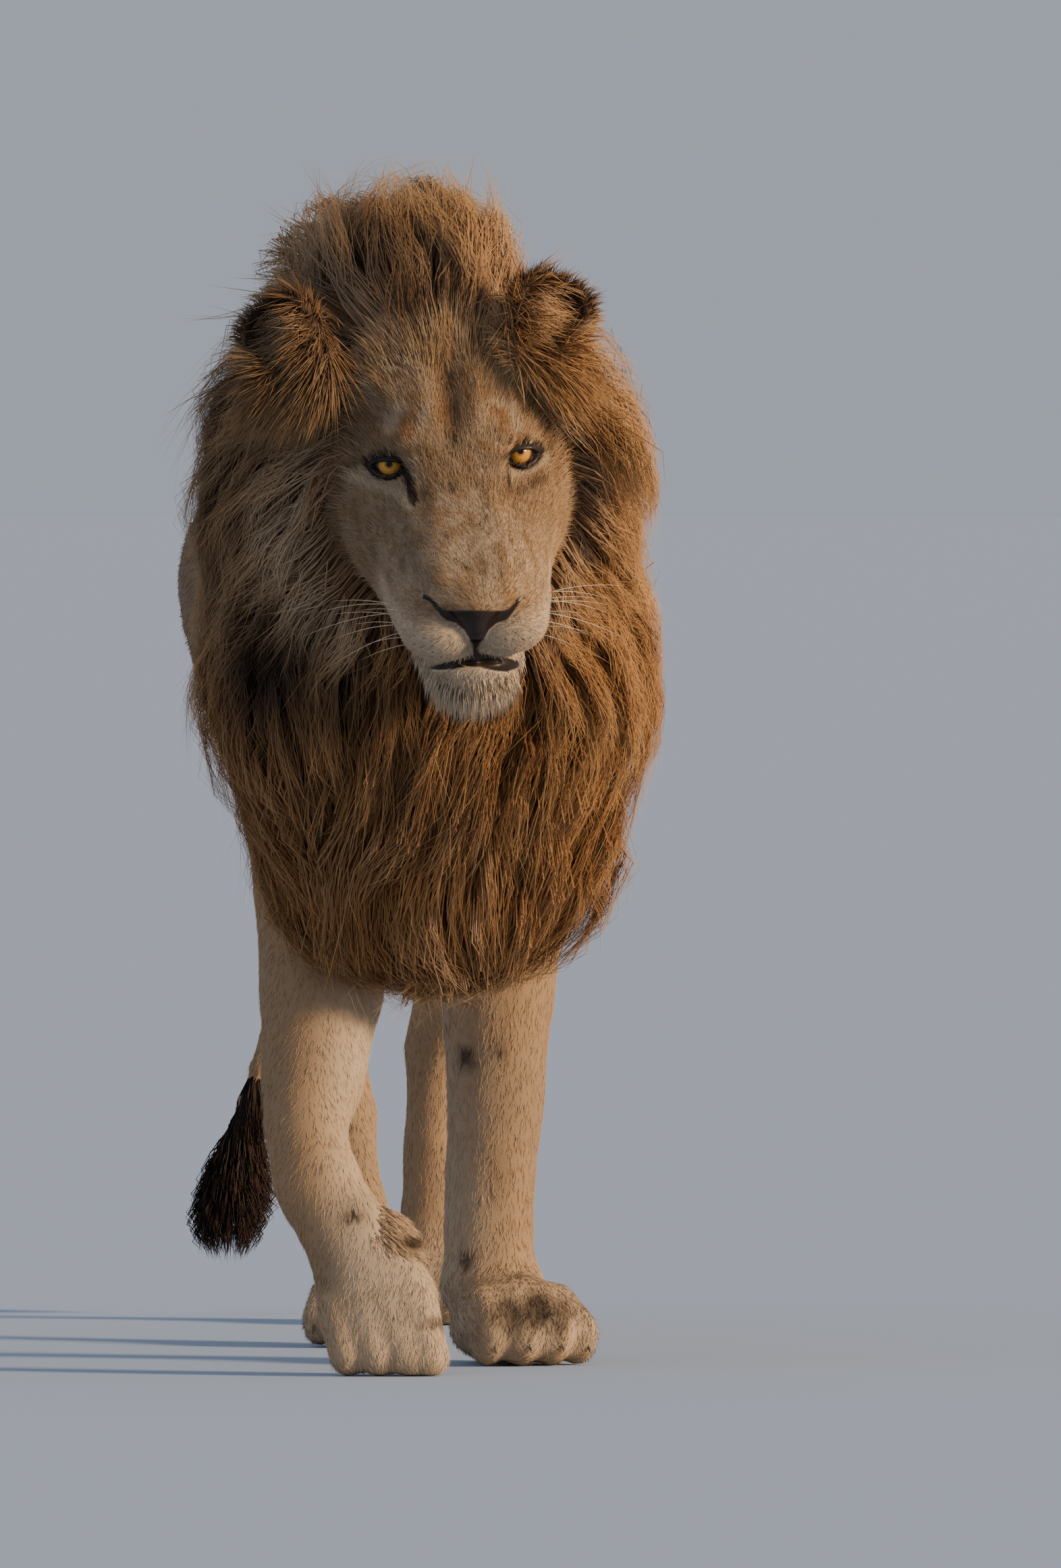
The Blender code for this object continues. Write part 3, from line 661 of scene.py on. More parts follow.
def split_finer(mesh, chosen):
    """Split the edges whose both ends are chosen."""
    bm = bmesh.new()
    bm.from_mesh(mesh)
    bm.verts.ensure_lookup_table()
    edges = [e for e in bm.edges if chosen[e.verts[0].index] and chosen[e.verts[1].index]]
    bmesh.ops.subdivide_edges(bm, edges=edges, cuts=1, use_grid_fill=True)
    bm.to_mesh(mesh)
    bm.free()


# %% Splitting finer where the eye looks closely
FACE_BACK, FACE_HALF, FACE_TOP = 0.075, 0.115, 0.10


def face_zone(points, spare=0.0):
    """Front of the head, where the net is finer."""
    x, y, z = to_head(points).T
    ahead = (y < FACE_BACK + spare) & (y > -0.22)
    return ahead & (np.abs(x) < FACE_HALF + spare) & (z > -0.19) & (z < FACE_TOP + spare)


def ear_zone(points):
    return np.minimum(*[np.linalg.norm(points - shell.b, axis=1) for shell in EAR_SHELLS]) < 0.062


def eye_zone(points, reach):
    middles = [e[0] + e[3] * 0.02 for e in EYES.values()]
    return np.minimum(*[np.linalg.norm(points - at, axis=1) for at in middles]) < reach


def muzzle_zone(points):
    y, z = to_head(points).T[1:]
    return (y < -0.085) & (z < -0.030) & (z > -0.165)


# Each split: where, how much the net evens out, and its longest slide.
SPLITS = (
    (lambda p: face_zone(p) | ear_zone(p) | (p[:, 2] < 0.10), 0.45, 0.010),
    (lambda p: face_zone(p, -0.012) | ear_zone(p), 0.4, 0.006),
    (lambda p: eye_zone(p, 0.030) | muzzle_zone(p), 0.4, 0.004),
    (lambda p: eye_zone(p, 0.023), 0.4, 0.003),
)
slide_onto(skin.data, flesh, 4)
for zone, relax, longest in SPLITS:
    split_finer(skin.data, zone(corners(skin.data)))
    slide_onto(skin.data, flesh, 3, relax, longest, zone)
net = corners(skin.data)
plain = ~face_zone(net, 0.02) & ~ear_zone(net) & (net[:, 2] > 0.09)
for turn in range(6):
    net[plain] += (neighbour_mean(net, edges_of(skin.data))[plain] - net[plain]) * 0.5
set_corners(skin.data, net)
print("skin corners", len(skin.data.vertices))

# %% [markdown]
# ## Folds, lips and lid openings
# The finest forms are pressed into the fine net one by one: a furrow runs along a
# line, and its profile is deepest on the line and dies out beside it.

# %% Pressing furrows


def distance_to_line(points, line):
    """Distance to a line of points, and how far along it the nearest place lies."""
    best, along = np.full(len(points), 1e3), np.zeros(len(points))
    line = np.asarray(line, float)
    for i, (a, b) in enumerate(zip(line, line[1:])):
        t = np.clip((points - a) @ (b - a) / max((b - a) @ (b - a), 1e-12), 0.0, 1.0)
        d = np.linalg.norm(points - a - t[:, None] * (b - a), axis=1)
        along = np.where(d < best, (i + t) / (len(line) - 1), along)
        best = np.minimum(best, d)
    return best, along


def press(points, normals, line, width, depth, fade=False):
    """Move points in (or out, for a negative depth) along a head line."""
    d, along = distance_to_line(points, [from_head(p) for p in line])
    bell = np.exp(-(d / width) ** 2)
    if fade:
        bell *= np.clip(4 * along * (1 - along) + 0.25, 0.0, 1.0)
    points -= normals * (depth * bell)[:, None]


net = corners(skin.data)
normals = unit(gradient(flesh, net))
front = to_head(net)[:, 1] < 0.09
pts, nrm = net[front], normals[front]

# %% Folds of the face
MOUTH_LINE = [(-0.070, -0.075, -0.116), (-0.060, -0.115, -0.125), (-0.044, -0.146, -0.128),
              (-0.022, -0.168, -0.127), (0.0, -0.176, -0.121), (0.022, -0.168, -0.127),
              (0.044, -0.146, -0.128), (0.060, -0.115, -0.125), (0.070, -0.075, -0.116)]
# Each fold is a line (left, back, up), its width, its depth (negative for a
# ridge), and True if it fades at its ends.
MIDDLE_FOLDS = [
    (MOUTH_LINE, 0.0028, 0.0050),
    ([(x, y + 0.004, z - 0.009) for x, y, z in MOUTH_LINE[2:-2]], 0.0048, -0.0020),
    ([(x * 1.06, y, z + 0.011) for x, y, z in MOUTH_LINE[1:-1]], 0.0075, -0.0012),
    ([(0, -0.186, -0.084), (0, -0.180, -0.118)], 0.0028, 0.0045),
]
SIDE_FOLDS = [
    ([(0.020, -0.186, -0.070), (0.031, -0.182, -0.064), (0.041, -0.172, -0.056)], 0.0040, 0.0085),
    ([(0.034, -0.172, -0.048), (0.049, -0.158, -0.046)], 0.0040, -0.0020),
    ([(0.047, -0.160, -0.058), (0.050, -0.140, -0.052)], 0.0035, 0.0022, True),
    ([(0.024, -0.010, 0.020), (0.040, -0.024, 0.018), (0.064, -0.022, 0.020), (0.088, -0.004, 0.018)],
     0.0060, -0.0034, True),
    ([(0.030, -0.020, 0.008), (0.052, -0.026, 0.0125), (0.078, -0.010, 0.012)], 0.0026, 0.0022, True),
    ([(0.040, -0.030, -0.022), (0.056, -0.026, -0.0225), (0.082, -0.005, -0.016)], 0.0045, 0.0016, True),
    ([(0.039, -0.030, -0.010), (0.031, -0.045, -0.024), (0.033, -0.065, -0.042)], 0.0046, 0.0022, True),
    *[([(0.030, -0.180 + row * 0.002, -0.082 - row * 0.009),
        (0.062 + row * 0.003, -0.110, -0.078 - row * 0.010)], 0.0024, 0.0007, True) for row in range(4)],
    ([(0.030, -0.010, 0.022), (0.046, -0.004, 0.028)], 0.0120, -0.0058),
    ([(0.020, 0.004, 0.036), (0.026, 0.040, 0.060), (0.030, 0.080, 0.078)], 0.0130, -0.0050, True),
    ([(0.066, 0.026, 0.040), (0.082, 0.052, 0.036)], 0.0170, 0.0065),
    ([(0.031, -0.150, -0.036), (0.030, -0.095, -0.018), (0.022, -0.040, 0.002)], 0.0075, -0.0032),
    ([(0.051, -0.125, -0.052), (0.050, -0.070, -0.034)], 0.0110, 0.0066, True),
    ([(0.060, -0.034, -0.046), (0.092, -0.004, -0.036)], 0.0115, -0.0052, True),
    ([(0.036, -0.040, -0.022), (0.044, -0.070, -0.040)], 0.0070, 0.0046, True),
    ([(0.070, -0.070, -0.086), (0.090, -0.010, -0.076)], 0.0130, 0.0050, True),
    ([(0.050, -0.150, -0.088), (0.060, -0.120, -0.092)], 0.0200, -0.0040),
]
for line, *fold in MIDDLE_FOLDS:
    press(pts, nrm, line, *fold)
for s in (1, -1):
    for line, *fold in SIDE_FOLDS:
        press(pts, nrm, [(s * x, y, z) for x, y, z in line], *fold)
press(pts, nrm, [(0.0, 0.085, 0.084), (0.0, 0.030, 0.052), (0.0, -0.014, 0.022)], 0.0110, 0.0042, True)
net[front] = pts
print("folds on the face", len(MIDDLE_FOLDS) + 2 * len(SIDE_FOLDS) + 1)

# %% Muscles of the body seen from the side
# Grooves and ridges (negative depth) as lines of (back, up), with width and depth.
FLANK_FOLDS = [
    ([(0.250, 0.985), (0.275, 0.860), (0.225, 0.700), (0.215, 0.600)], 0.030, 0.0085),
    ([(0.120, 0.940), (0.070, 0.820), (0.060, 0.720)], 0.026, -0.0060),
    ([(0.160, 0.640), (0.180, 0.540)], 0.026, -0.0070),
    ([(0.715, 0.640), (0.775, 0.720), (0.800, 0.830)], 0.026, 0.0095),
    ([(0.900, 0.940), (0.990, 0.850), (0.985, 0.700), (0.960, 0.600)], 0.024, 0.0055),
    ([(0.860, 0.900), (0.900, 0.760), (0.850, 0.640)], 0.030, -0.0050),
    *[([(y, 0.860), (y + 0.030, 0.760), (y + 0.020, 0.660)], 0.012, 0.0014)
      for y in (0.330 + 0.052 * rib for rib in range(6))],
]


def press_side(points, normals, side, line, width, depth):
    """Groove or ridge on one side of the body, fading at its ends and where the body turns away."""
    d, along = distance_to_line(points * [0, 1, 1], [(0.0, y, z) for y, z in line])
    turned_out = np.clip(normals[:, 0] * side, 0.0, 1.0)
    bell = np.exp(-(d / width) ** 2) * np.clip(4 * along * (1 - along) + 0.15, 0.0, 1.0) * turned_out
    points -= normals * (depth * bell)[:, None]


torso = (net[:, 1] > 0.02) & (net[:, 1] < 1.16) & (net[:, 2] > 0.34)
pts, nrm = net[torso], normals[torso]
for s in (1, -1):
    for fold in FLANK_FOLDS:
        press_side(pts, nrm, s, *fold)
net[torso] = pts
print("folds on each flank", len(FLANK_FOLDS))

# %% Lid openings
LID_EDGE_WIDTH, LID_EDGE_HEIGHT = 0.0022, 0.0008
BEHIND_EYEBALL = 0.0030
FLOOR_GAP = 0.0006
for s in (1, -1):
    eye_at = EYES[s][0]
    rim = almond(net, s)
    shell = np.linalg.norm(net - eye_at, axis=1)
    around = (shell < 0.034) & (rim < 0.02)
    fold = around & (rim > 0)
    lift = np.exp(-(rim[fold] / LID_EDGE_WIDTH) ** 2) * LID_EDGE_HEIGHT
    net[fold] += normals[fold] * lift[:, None]
    inside = around & (rim < 0)
    drop = ramp(-rim[inside], 0.0001, 0.0010)
    radius = shell[inside] * (1 - drop) + (EYE_RADIUS - BEHIND_EYEBALL) * drop
    net[inside] = eye_at + (net[inside] - eye_at) * (radius / shell[inside])[:, None]
    print("lid opening", s, int(inside.sum()), "corners")
net[:, 2] = np.maximum(net[:, 2], FLOOR_GAP)

# %% The finished skin
set_corners(skin.data, net + OFFSET)
skin.data.polygons.foreach_set("use_smooth", np.ones(len(skin.data.polygons), bool))
skin_points = net
skin_normals = np.empty(len(net) * 3, np.float32)
skin.data.vertex_normals.foreach_get("vector", skin_normals)
skin_normals = skin_normals.reshape(-1, 3).astype(float)
print("skin triangles", sum(len(p.vertices) - 2 for p in skin.data.polygons))

# %% [markdown]
# ## Markings
# One function of place gives every mark: where the coat is cream, rusty, dark
# or grey, where painted shade and painted warm light lie on it, and where bare
# leather is wet.  The skin and every tuft ask the same function, so no colour
# edge shows between them.

# %% Marking helpers


def spot(points, centre, size, soft=0.35):
    """1 inside an ellipsoid, fading to 0 past its edge."""
    reach = np.linalg.norm((points - np.asarray(centre)) / np.asarray(size), axis=1)
    return 1 - ramp(reach, 1 - soft, 1 + soft)


def band(value, low, high, soft):
    """1 between low and high, fading out on both sides."""
    return ramp(value, low - soft, low + soft) * (1 - ramp(value, high - soft, high + soft))


def facing_line(points, line, width, core=0.55):
    """1 on a line of (sideways, up) metres from between the eyes, as the face looks ahead."""
    flat = (points - HEAD_AT) * [1, 0, 1]
    d = distance_to_line(flat, [(across, 0.0, up) for across, up in line])[0]
    return 1 - ramp(d, width * core, width * 1.30)


def wander(points, scale, seed):
    """Slow smooth noise between -1 and 1, from a few turned waves."""
    turn = np.random.default_rng(seed)
    out = np.zeros(len(points))
    for octave in range(5):
        way = unit(turn.normal(size=3)) * scale * (1 + octave * 0.55)
        out += np.sin(points @ way + turn.uniform(0, 6.28)) / 2.6
    return np.clip(out, -1, 1)


# %% Where the face ends and the mane begins
NOSE_EDGE = -0.1475


def view_height(points):
    """Height of places on the head as it is carried, measured from between the eyes."""
    return points[:, 2] - HEAD_AT[2]


def face_share(points):
    """1 on the short-haired face, 0 where the mane grows."""
    x, y, z = to_head(points).T
    limit = 0.098 - 0.050 * ramp(np.abs(x), 0.045, 0.105)
    limit = np.where(z < -0.03, 0.048, limit)
    limit -= 0.085 * ramp(-z, 0.100, 0.165)
    limit += 0.006 * wander(points, 90.0, 5)
    close = 1 - ramp(melt(points, HEAD_MASSES), 0.010, 0.030)
    return ramp(limit - y, -0.010, 0.010) * close


def leather_share(points):
    """The bare nose: a wide V with arms that rise to the nostrils."""
    x, y = to_head(points).T[:2]
    across = np.abs(x)
    top = NOSE_EDGE + 0.016 * ramp(across, 0.028, 0.050)
    thick = np.interp(across, [0, 0.006, 0.012, 0.020, 0.034, 0.050],
                      [0.040, 0.030, 0.0195, 0.0125, 0.0085, 0.0040])
    height = view_height(points)
    return (ramp(top - height, -0.0008, 0.0008) * ramp(height - top + thick, -0.0008, 0.0008)
            * (y < -0.145) * (across < 0.0505))


# Tops and bottoms of the lips, from the lion's right corner to the left.
LIP_PLACES = (-0.055, -0.038, -0.022, -0.010, 0.002, 0.018, 0.030, 0.041, 0.049)
LIP_TOP = (-0.2045, -0.2005, -0.1975, -0.1935, -0.1895, -0.1930, -0.1950, -0.1975, -0.2000)
LIP_BOTTOM = (-0.2050, -0.2070, -0.2055, -0.2035, -0.2040, -0.2080, -0.2090, -0.2050, -0.2005)
LIP_EDGE = 0.0006


def lip_share(points):
    """Black lips: thin at the lion's right corner, full in the middle and left."""
    middle = from_head((0.0, -0.175, -0.120))[0]
    across = points[:, 0] - middle
    height = view_height(points)
    upper = np.interp(across, LIP_PLACES, LIP_TOP)
    lower = np.interp(across, LIP_PLACES, LIP_BOTTOM)
    inside = ramp(upper - height, -LIP_EDGE, LIP_EDGE) * ramp(height - lower, -LIP_EDGE, LIP_EDGE)
    in_front = to_head(points)[:, 1] < -0.100
    return inside * in_front * (across > LIP_PLACES[0]) * (across < LIP_PLACES[-1])


# %% Lines of this face
# Lines of (sideways, up) metres from between the eyes, each with its half
# width and its strength.
PALE_LINES = [
    ([(-0.099, -0.018), (-0.078, -0.026), (-0.057, -0.033), (-0.047, -0.042)], 0.0085, 0.85),
    ([(-0.090, -0.013), (-0.070, -0.019), (-0.053, -0.026)], 0.0070, 0.75),
    ([(-0.039, 0.000), (-0.035, -0.026)], 0.0038, 0.55),
    ([(-0.064, 0.032), (-0.056, 0.050)], 0.0100, 0.72),
    ([(0.057, -0.015), (0.073, -0.010), (0.088, -0.001)], 0.0070, 0.90),
    ([(0.044, -0.004), (0.046, -0.020)], 0.0032, 0.50),
    ([(0.062, 0.030), (0.056, 0.052), (0.038, 0.056)], 0.0062, 0.85),
    ([(-0.034, 0.030), (-0.028, 0.048)], 0.0075, 0.50),
    ([(0.026, 0.028), (0.028, 0.052)], 0.0080, 0.50),
]
RUST_LINES = [
    ([(-0.048, 0.024), (-0.046, 0.036)], 0.0100, 0.80),
    ([(0.046, 0.028), (0.047, 0.042), (0.038, 0.050)], 0.0055, 0.75),
    ([(-0.012, 0.040), (-0.010, 0.070)], 0.0120, 0.35),
]
DARK_LINES = [
    ([(-0.0485, -0.010), (-0.0440, -0.024), (-0.0405, -0.040)], 0.0050, 0.96),
    ([(-0.0530, -0.008), (-0.0450, -0.018)], 0.0036, 0.94),
    ([(0.0505, -0.004), (0.0522, -0.016), (0.0534, -0.028)], 0.0020, 0.85),
    ([(0.0500, 0.003), (0.0530, -0.006)], 0.0034, 0.92),
    ([(0.0500, 0.014), (0.0540, 0.021)], 0.0014, 0.75),
    ([(0.0640, -0.030), (0.0760, -0.026), (0.0880, -0.020)], 0.0046, 0.50),
    ([(0.0850, 0.009), (0.0930, 0.010)], 0.0020, 0.60),
    ([(-0.0930, -0.004), (-0.1000, -0.007)], 0.0020, 0.50),
    ([(0.0006, 0.022), (0.0008, 0.017)], 0.0024, 0.90),
    ([(-0.0050, -0.022), (-0.0030, -0.030)], 0.0026, 0.62),
    ([(0.0222, -0.061), (0.0287, -0.068)], 0.0011, 0.85),
    ([(-0.0025, -0.096), (0.0060, -0.101), (0.0147, -0.109)], 0.0011, 0.85),
    ([(0.0130, -0.013), (0.0138, -0.016)], 0.0014, 0.70),
    ([(0.0276, -0.042), (0.0341, -0.045)], 0.0011, 0.75),
    ([(0.0298, -0.053), (0.0305, -0.056)], 0.0013, 0.75),
    ([(0.0395, -0.087), (0.0402, -0.089)], 0.0014, 0.75),
    ([(0.0448, -0.096), (0.0470, -0.124)], 0.0011, 0.55),
    ([(-0.0079, -0.075), (-0.0074, -0.078)], 0.0013, 0.70),
    ([(0.0620, -0.051), (0.0685, -0.062)], 0.0020, 0.40),
    ([(0.0642, -0.102), (0.0660, -0.105)], 0.0018, 0.45),
    ([(0.0276, -0.121), (0.0285, -0.124)], 0.0016, 0.45),
]
SHADE_LINES = [
    ([(-0.0050, 0.092), (-0.0030, 0.050), (-0.0004, 0.014)], 0.0135, 0.62),
    ([(0.0130, 0.078), (0.0120, 0.034)], 0.0120, 0.34),
    ([(-0.0290, 0.004), (-0.0250, -0.050), (-0.0220, -0.105)], 0.0200, 0.34),
    ([(-0.0460, -0.084), (-0.0360, -0.104)], 0.0150, 0.40),
    ([(-0.0560, -0.046), (-0.0480, -0.066)], 0.0120, 0.30),
    ([(-0.0900, 0.020), (-0.0700, 0.055)], 0.0180, 0.22),
    ([(0.0620, -0.036), (0.0720, -0.058)], 0.0100, 0.26),
    ([(0.0180, -0.060), (0.0160, -0.100)], 0.0110, 0.20),
    ([(-0.0120, -0.128), (0.0160, -0.130)], 0.0100, 0.24),
]
# Mask, lines, how much wider they are drawn, and the full-strength share of the width.
FACE_LINES = (("pale", PALE_LINES, 1.15, 0.0), ("rust", RUST_LINES, 1.0, 0.2),
              ("dark", DARK_LINES, 1.0, 0.55), ("dark", SHADE_LINES, 1.0, 0.0))
print("lines on the face", sum(len(lines) for mask, lines, wider, core in FACE_LINES))


# %% Marks on the face
MASKS = ("pale", "dark", "rust", "grey", "wet")


class Marks(dict):
    """How strong each mask is at many places."""

    def add(self, **amounts):
        """Raise masks to an amount wherever that is higher."""
        for name, amount in amounts.items():
            self[name] = np.maximum(self[name], amount)


def mark_face(points, masks, head, face):
    """Eye lining, pads, chin, flecks, nose and lips, with painted shade on the side turned from the light;
    gives back where the skin is bare.
    """
    hx, hy, hz = to_head(points).T
    across, height = np.abs(hx), view_height(points)
    ahead = head * (hy < 0.06)
    for mask, lines, wider, core in FACE_LINES:
        for line, width, strength in lines:
            masks.add(**{mask: facing_line(points, line, width * wider, core) * strength * ahead})
    for s in (1, -1):
        rim = almond(points, s)
        masks.add(dark=(1 - ramp(rim, 0.0042, 0.0066)) * (rim < 0.5),
                  wet=(1 - ramp(rim, 0.001, 0.003)) * (rim < 0.5))
    pads = ramp(-0.062 - hz, -0.006, 0.018) * ramp(-0.060 - hy, -0.02, 0.03) * face
    masks.add(pale=pads * 0.78)
    chin = ramp(-0.128 - hz, -0.004, 0.004) * ramp(-0.060 - hy, 0.0, 0.03)
    masks.add(pale=chin * (1 - ramp(across, 0.050, 0.064)) * head)
    rows = band(across, 0.020, 0.064, 0.006) * band(hz, -0.112, -0.072, 0.004) * (hy < -0.10)
    dots = np.maximum(0, np.sin(hz / 0.0090 * 6.28 + across * 60))
    dots = dots * np.maximum(0, np.sin(across / 0.0085 * 6.28))
    masks.add(dark=rows * ramp(dots, 0.30, 0.75) * 0.55 * head)
    philtrum = (1 - ramp(across, 0.0016, 0.0036)) * band(height, -0.197, -0.160, 0.002)
    philtrum = philtrum * (hy < -0.15) * head
    bare = np.maximum(np.maximum(leather_share(points) * head, philtrum * 0.95), lip_share(points) * head)
    masks.add(dark=bare, wet=bare)
    mottled = 0.5 + 0.5 * wander(points, 150.0, 9)
    blotch = ramp(wander(points, 95.0, 12), 0.15, 0.75)
    masks.add(grey=face * (0.35 + 0.45 * mottled) * ramp(-0.01 - hy, -0.06, 0.06))
    masks.add(grey=face * (0.30 + 0.25 * mottled) * ramp(across, 0.03, 0.08))
    # Painted shade and light: more grey on the lion's right side of the face, turned from the warm key, and
    # less grey with a little rust on its lit left side.
    masks.add(grey=face * (0.55 + 0.30 * mottled) * ramp(-hx, 0.0, 0.04))
    masks["grey"] *= 1 - 0.45 * ramp(hx, 0.01, 0.05) * face
    masks.add(rust=face * 0.14 * (0.4 + 0.6 * mottled) * ramp(hx, 0.0, 0.05))
    masks.add(pale=face * 0.26 * (1 - blotch) * ramp(mottled, 0.2, 0.7))
    masks.add(pale=face * 0.34 * band(hy, -0.145, -0.100, 0.012) * (1 - blotch))
    masks.add(dark=face * 0.15 * blotch * ramp(0.015 - hz, 0.0, 0.03) * (1 - masks["pale"]))
    specks = ramp(wander(points, 620.0, 15), 0.62, 0.92) * (0.30 + 0.25 * ramp(hx, -0.02, 0.04))
    masks.add(dark=face * specks * ramp(0.03 - hz, 0.0, 0.03) * (hz > -0.075))
    return bare


# %% Marks on the mane
# Dark places, partly painted shade under the ruff and on the side turned from the light,
# and partly the dark brown hair of the crest: centre, size and strength.
MANE_SHADE_AND_DARK_HAIR = [
    ((-0.162, -0.30, 0.715), (0.060, 0.20, 0.090), 0.95),
    ((-0.100, -0.36, 0.680), (0.075, 0.22, 0.050), 0.88),
    ((-0.030, -0.36, 0.668), (0.070, 0.22, 0.030), 0.62),
    ((-0.040, -0.36, 0.606), (0.030, 0.20, 0.055), 0.80),
    ((0.030, -0.36, 0.575), (0.022, 0.20, 0.045), 0.55),
    ((-0.115, -0.36, 0.560), (0.045, 0.20, 0.070), 0.60),
    ((0.115, -0.34, 0.660), (0.035, 0.20, 0.055), 0.40),
    ((0.090, -0.34, 0.560), (0.030, 0.20, 0.050), 0.30),
    ((0.000, -0.36, 1.072), (0.044, 0.12, 0.052), 0.86),
    ((-0.026, -0.34, 1.125), (0.050, 0.20, 0.058), 0.74),
    ((-0.100, -0.30, 1.110), (0.060, 0.20, 0.050), 0.50),
    ((-0.225, -0.26, 0.930), (0.055, 0.30, 0.150), 0.50),
    ((0.000, 0.05, 1.10), (0.10, 0.22, 0.10), 0.35),
]
# Pale locks beside the cheeks, as lines ahead of the face with their widths.
CHEEK_LOCKS = [
    ([(-0.135, 0.075), (-0.158, 0.020), (-0.185, -0.060), (-0.175, -0.125), (-0.115, -0.185)], 0.030),
    ([(0.080, 0.080), (0.120, 0.010), (0.130, -0.060), (0.100, -0.130), (0.075, -0.190)], 0.026),
]


def mark_mane(points, masks, mane):
    x, y, z = points.T
    hx, hz = to_head(points).T[[0, 2]]
    golden = 0.5 + 0.5 * wander(points, 26.0, 21)
    # Painted shade of the mane, together with the crest's dark brown hair.
    shade_and_dark_hair = np.zeros(len(points))
    for centre, size, strength in MANE_SHADE_AND_DARK_HAIR:
        shade_and_dark_hair = np.maximum(shade_and_dark_hair, spot(points, centre, size, 0.6) * strength)
    masks.add(dark=shade_and_dark_hair * mane * (0.75 + 0.25 * golden))
    masks.add(rust=mane * ramp(0.76 - z, -0.08, 0.08) * (0.22 + 0.42 * golden))
    masks.add(rust=mane * 0.40 * ramp(z, 1.00, 1.12) * golden)
    masks.add(rust=mane * 0.25 * golden)
    ring = 1 - ramp(np.hypot(hx, hz + 0.04), 0.13, 0.20)
    pale = mane * (0.12 + 0.38 * ring) * ramp(z, 0.70, 0.82) * (1 - 0.5 * golden) * (y < -0.05)
    masks.add(pale=pale)
    # Painted shade: grey on the lion's right side of the mane, turned from the warm key.
    masks.add(grey=mane * 0.72 * ramp(-0.02 - x, 0.0, 0.10) * ramp(z, 0.62, 0.76))
    beside = np.maximum(*[facing_line(points, line, width) for line, width in CHEEK_LOCKS])
    beside *= mane * (1 - ramp(y, -0.16, -0.02))
    masks.add(pale=beside * (0.52 + 0.22 * golden))
    masks["rust"] *= 1 - 0.7 * beside
    masks["dark"] *= 1 - 0.7 * beside * (z > 0.72)


# %% Marks on legs, trunk, tail and ears
# Leg and paw marks: centre, size and strength.
LEG_SPOTS = [
    ((-0.087, -0.180, 0.164), (0.008, 0.12, 0.010), 0.90),
    ((-0.086, -0.180, 0.168), (0.020, 0.12, 0.024), 0.24),
    ((-0.020, -0.180, 0.134), (0.018, 0.12, 0.007), 0.85),
    ((-0.004, -0.205, 0.055), (0.016, 0.04, 0.006), 0.70),
    ((-0.110, -0.180, 0.110), (0.020, 0.05, 0.030), 0.18),
    ((0.028, 0.100, 0.106), (0.008, 0.12, 0.010), 0.80),
    ((0.027, 0.090, 0.314), (0.008, 0.12, 0.012), 0.85),
    ((0.062, 0.075, 0.326), (0.007, 0.12, 0.007), 0.85),
    ((0.038, 0.080, 0.374), (0.010, 0.12, 0.005), 0.50),
    ((0.060, 0.080, 0.195), (0.010, 0.05, 0.030), 0.24),
    ((0.070, 0.040, 0.052), (0.018, 0.12, 0.018), 0.66),
    ((0.100, 0.040, 0.056), (0.016, 0.12, 0.020), 0.86),
    ((0.124, 0.040, 0.050), (0.010, 0.12, 0.020), 0.66),
    ((0.040, 0.075, 0.030), (0.018, 0.05, 0.010), 0.35),
]
LEFT_FOREPAW_TOES = TOES[:4]


def mark_body(points, masks, face, mane):
    x, y, z = points.T
    rest, trunk = 1 - mane, (1 - mane) * (1 - face)
    legs = 1 - ramp(z, 0.42, 0.60)
    inner = ramp(np.where(x > -0.03, 0.046 - x, x + 0.108), -0.030, 0.030) * (y < 0.4)
    masks.add(pale=legs * (0.10 + 0.50 * inner) * rest)
    masks.add(pale=0.45 * (1 - ramp(z, 0.06, 0.14)) * rest)
    masks.add(pale=rest * 0.50 * spot(points, (-0.06, 0.46, 0.585), (0.11, 0.36, 0.060), 0.9))
    masks.add(grey=trunk * (0.25 + 0.30 * (0.5 + 0.5 * wander(points, 14.0, 3))))
    # Painted shade: grey over the lion's right flank, turned from the warm key.
    masks.add(grey=trunk * (1 - legs) * 0.85 * ramp(-x, 0.10, 0.20))
    masks.add(dark=trunk * (1 - legs) * 0.10 * ramp(z, 0.80, 1.02))
    for centre, size, strength in LEG_SPOTS:
        masks.add(dark=spot(points, centre, size, 0.4) * strength)
    # Painted shade in the gaps between the toes of the left forepaw.
    low = 1 - ramp(z, 0.055, 0.085)
    for root, tip, toe_across, toe, depth in LEFT_FOREPAW_TOES:
        gap = (root + tip) / 2 + toe_across * toe * 1.05 + [0, 0, 0.012]
        masks.add(dark=spot(points, gap, (0.010, 0.030, 0.022), 0.6) * 0.62 * low)
    tuft = ramp(0.215 - z, -0.02, 0.03) * (y > 1.30)
    masks.add(dark=tuft * 0.97, rust=tuft * 0.5)


def mark_ears(points, masks):
    for s, (centre, ear_across, ear_up, ear_open) in EAR_FRAMES.items():
        rel = points - centre
        near = 1 - ramp(np.linalg.norm(rel, axis=1), 0.050, 0.066)
        masks.add(dark=near * (0.20 + 0.65 * ramp(rel @ ear_up, -0.02, 0.02)))
        # Painted shade on the right ear: dark along its inner edge and more grey over it, as it is turned
        # from the light.
        masks.add(dark=near * 0.62 * ramp(-rel[:, 0] * s, -0.004, 0.014) * (s < 0))
        masks.add(rust=near * 0.3, grey=near * (0.3 if s > 0 else 0.8))


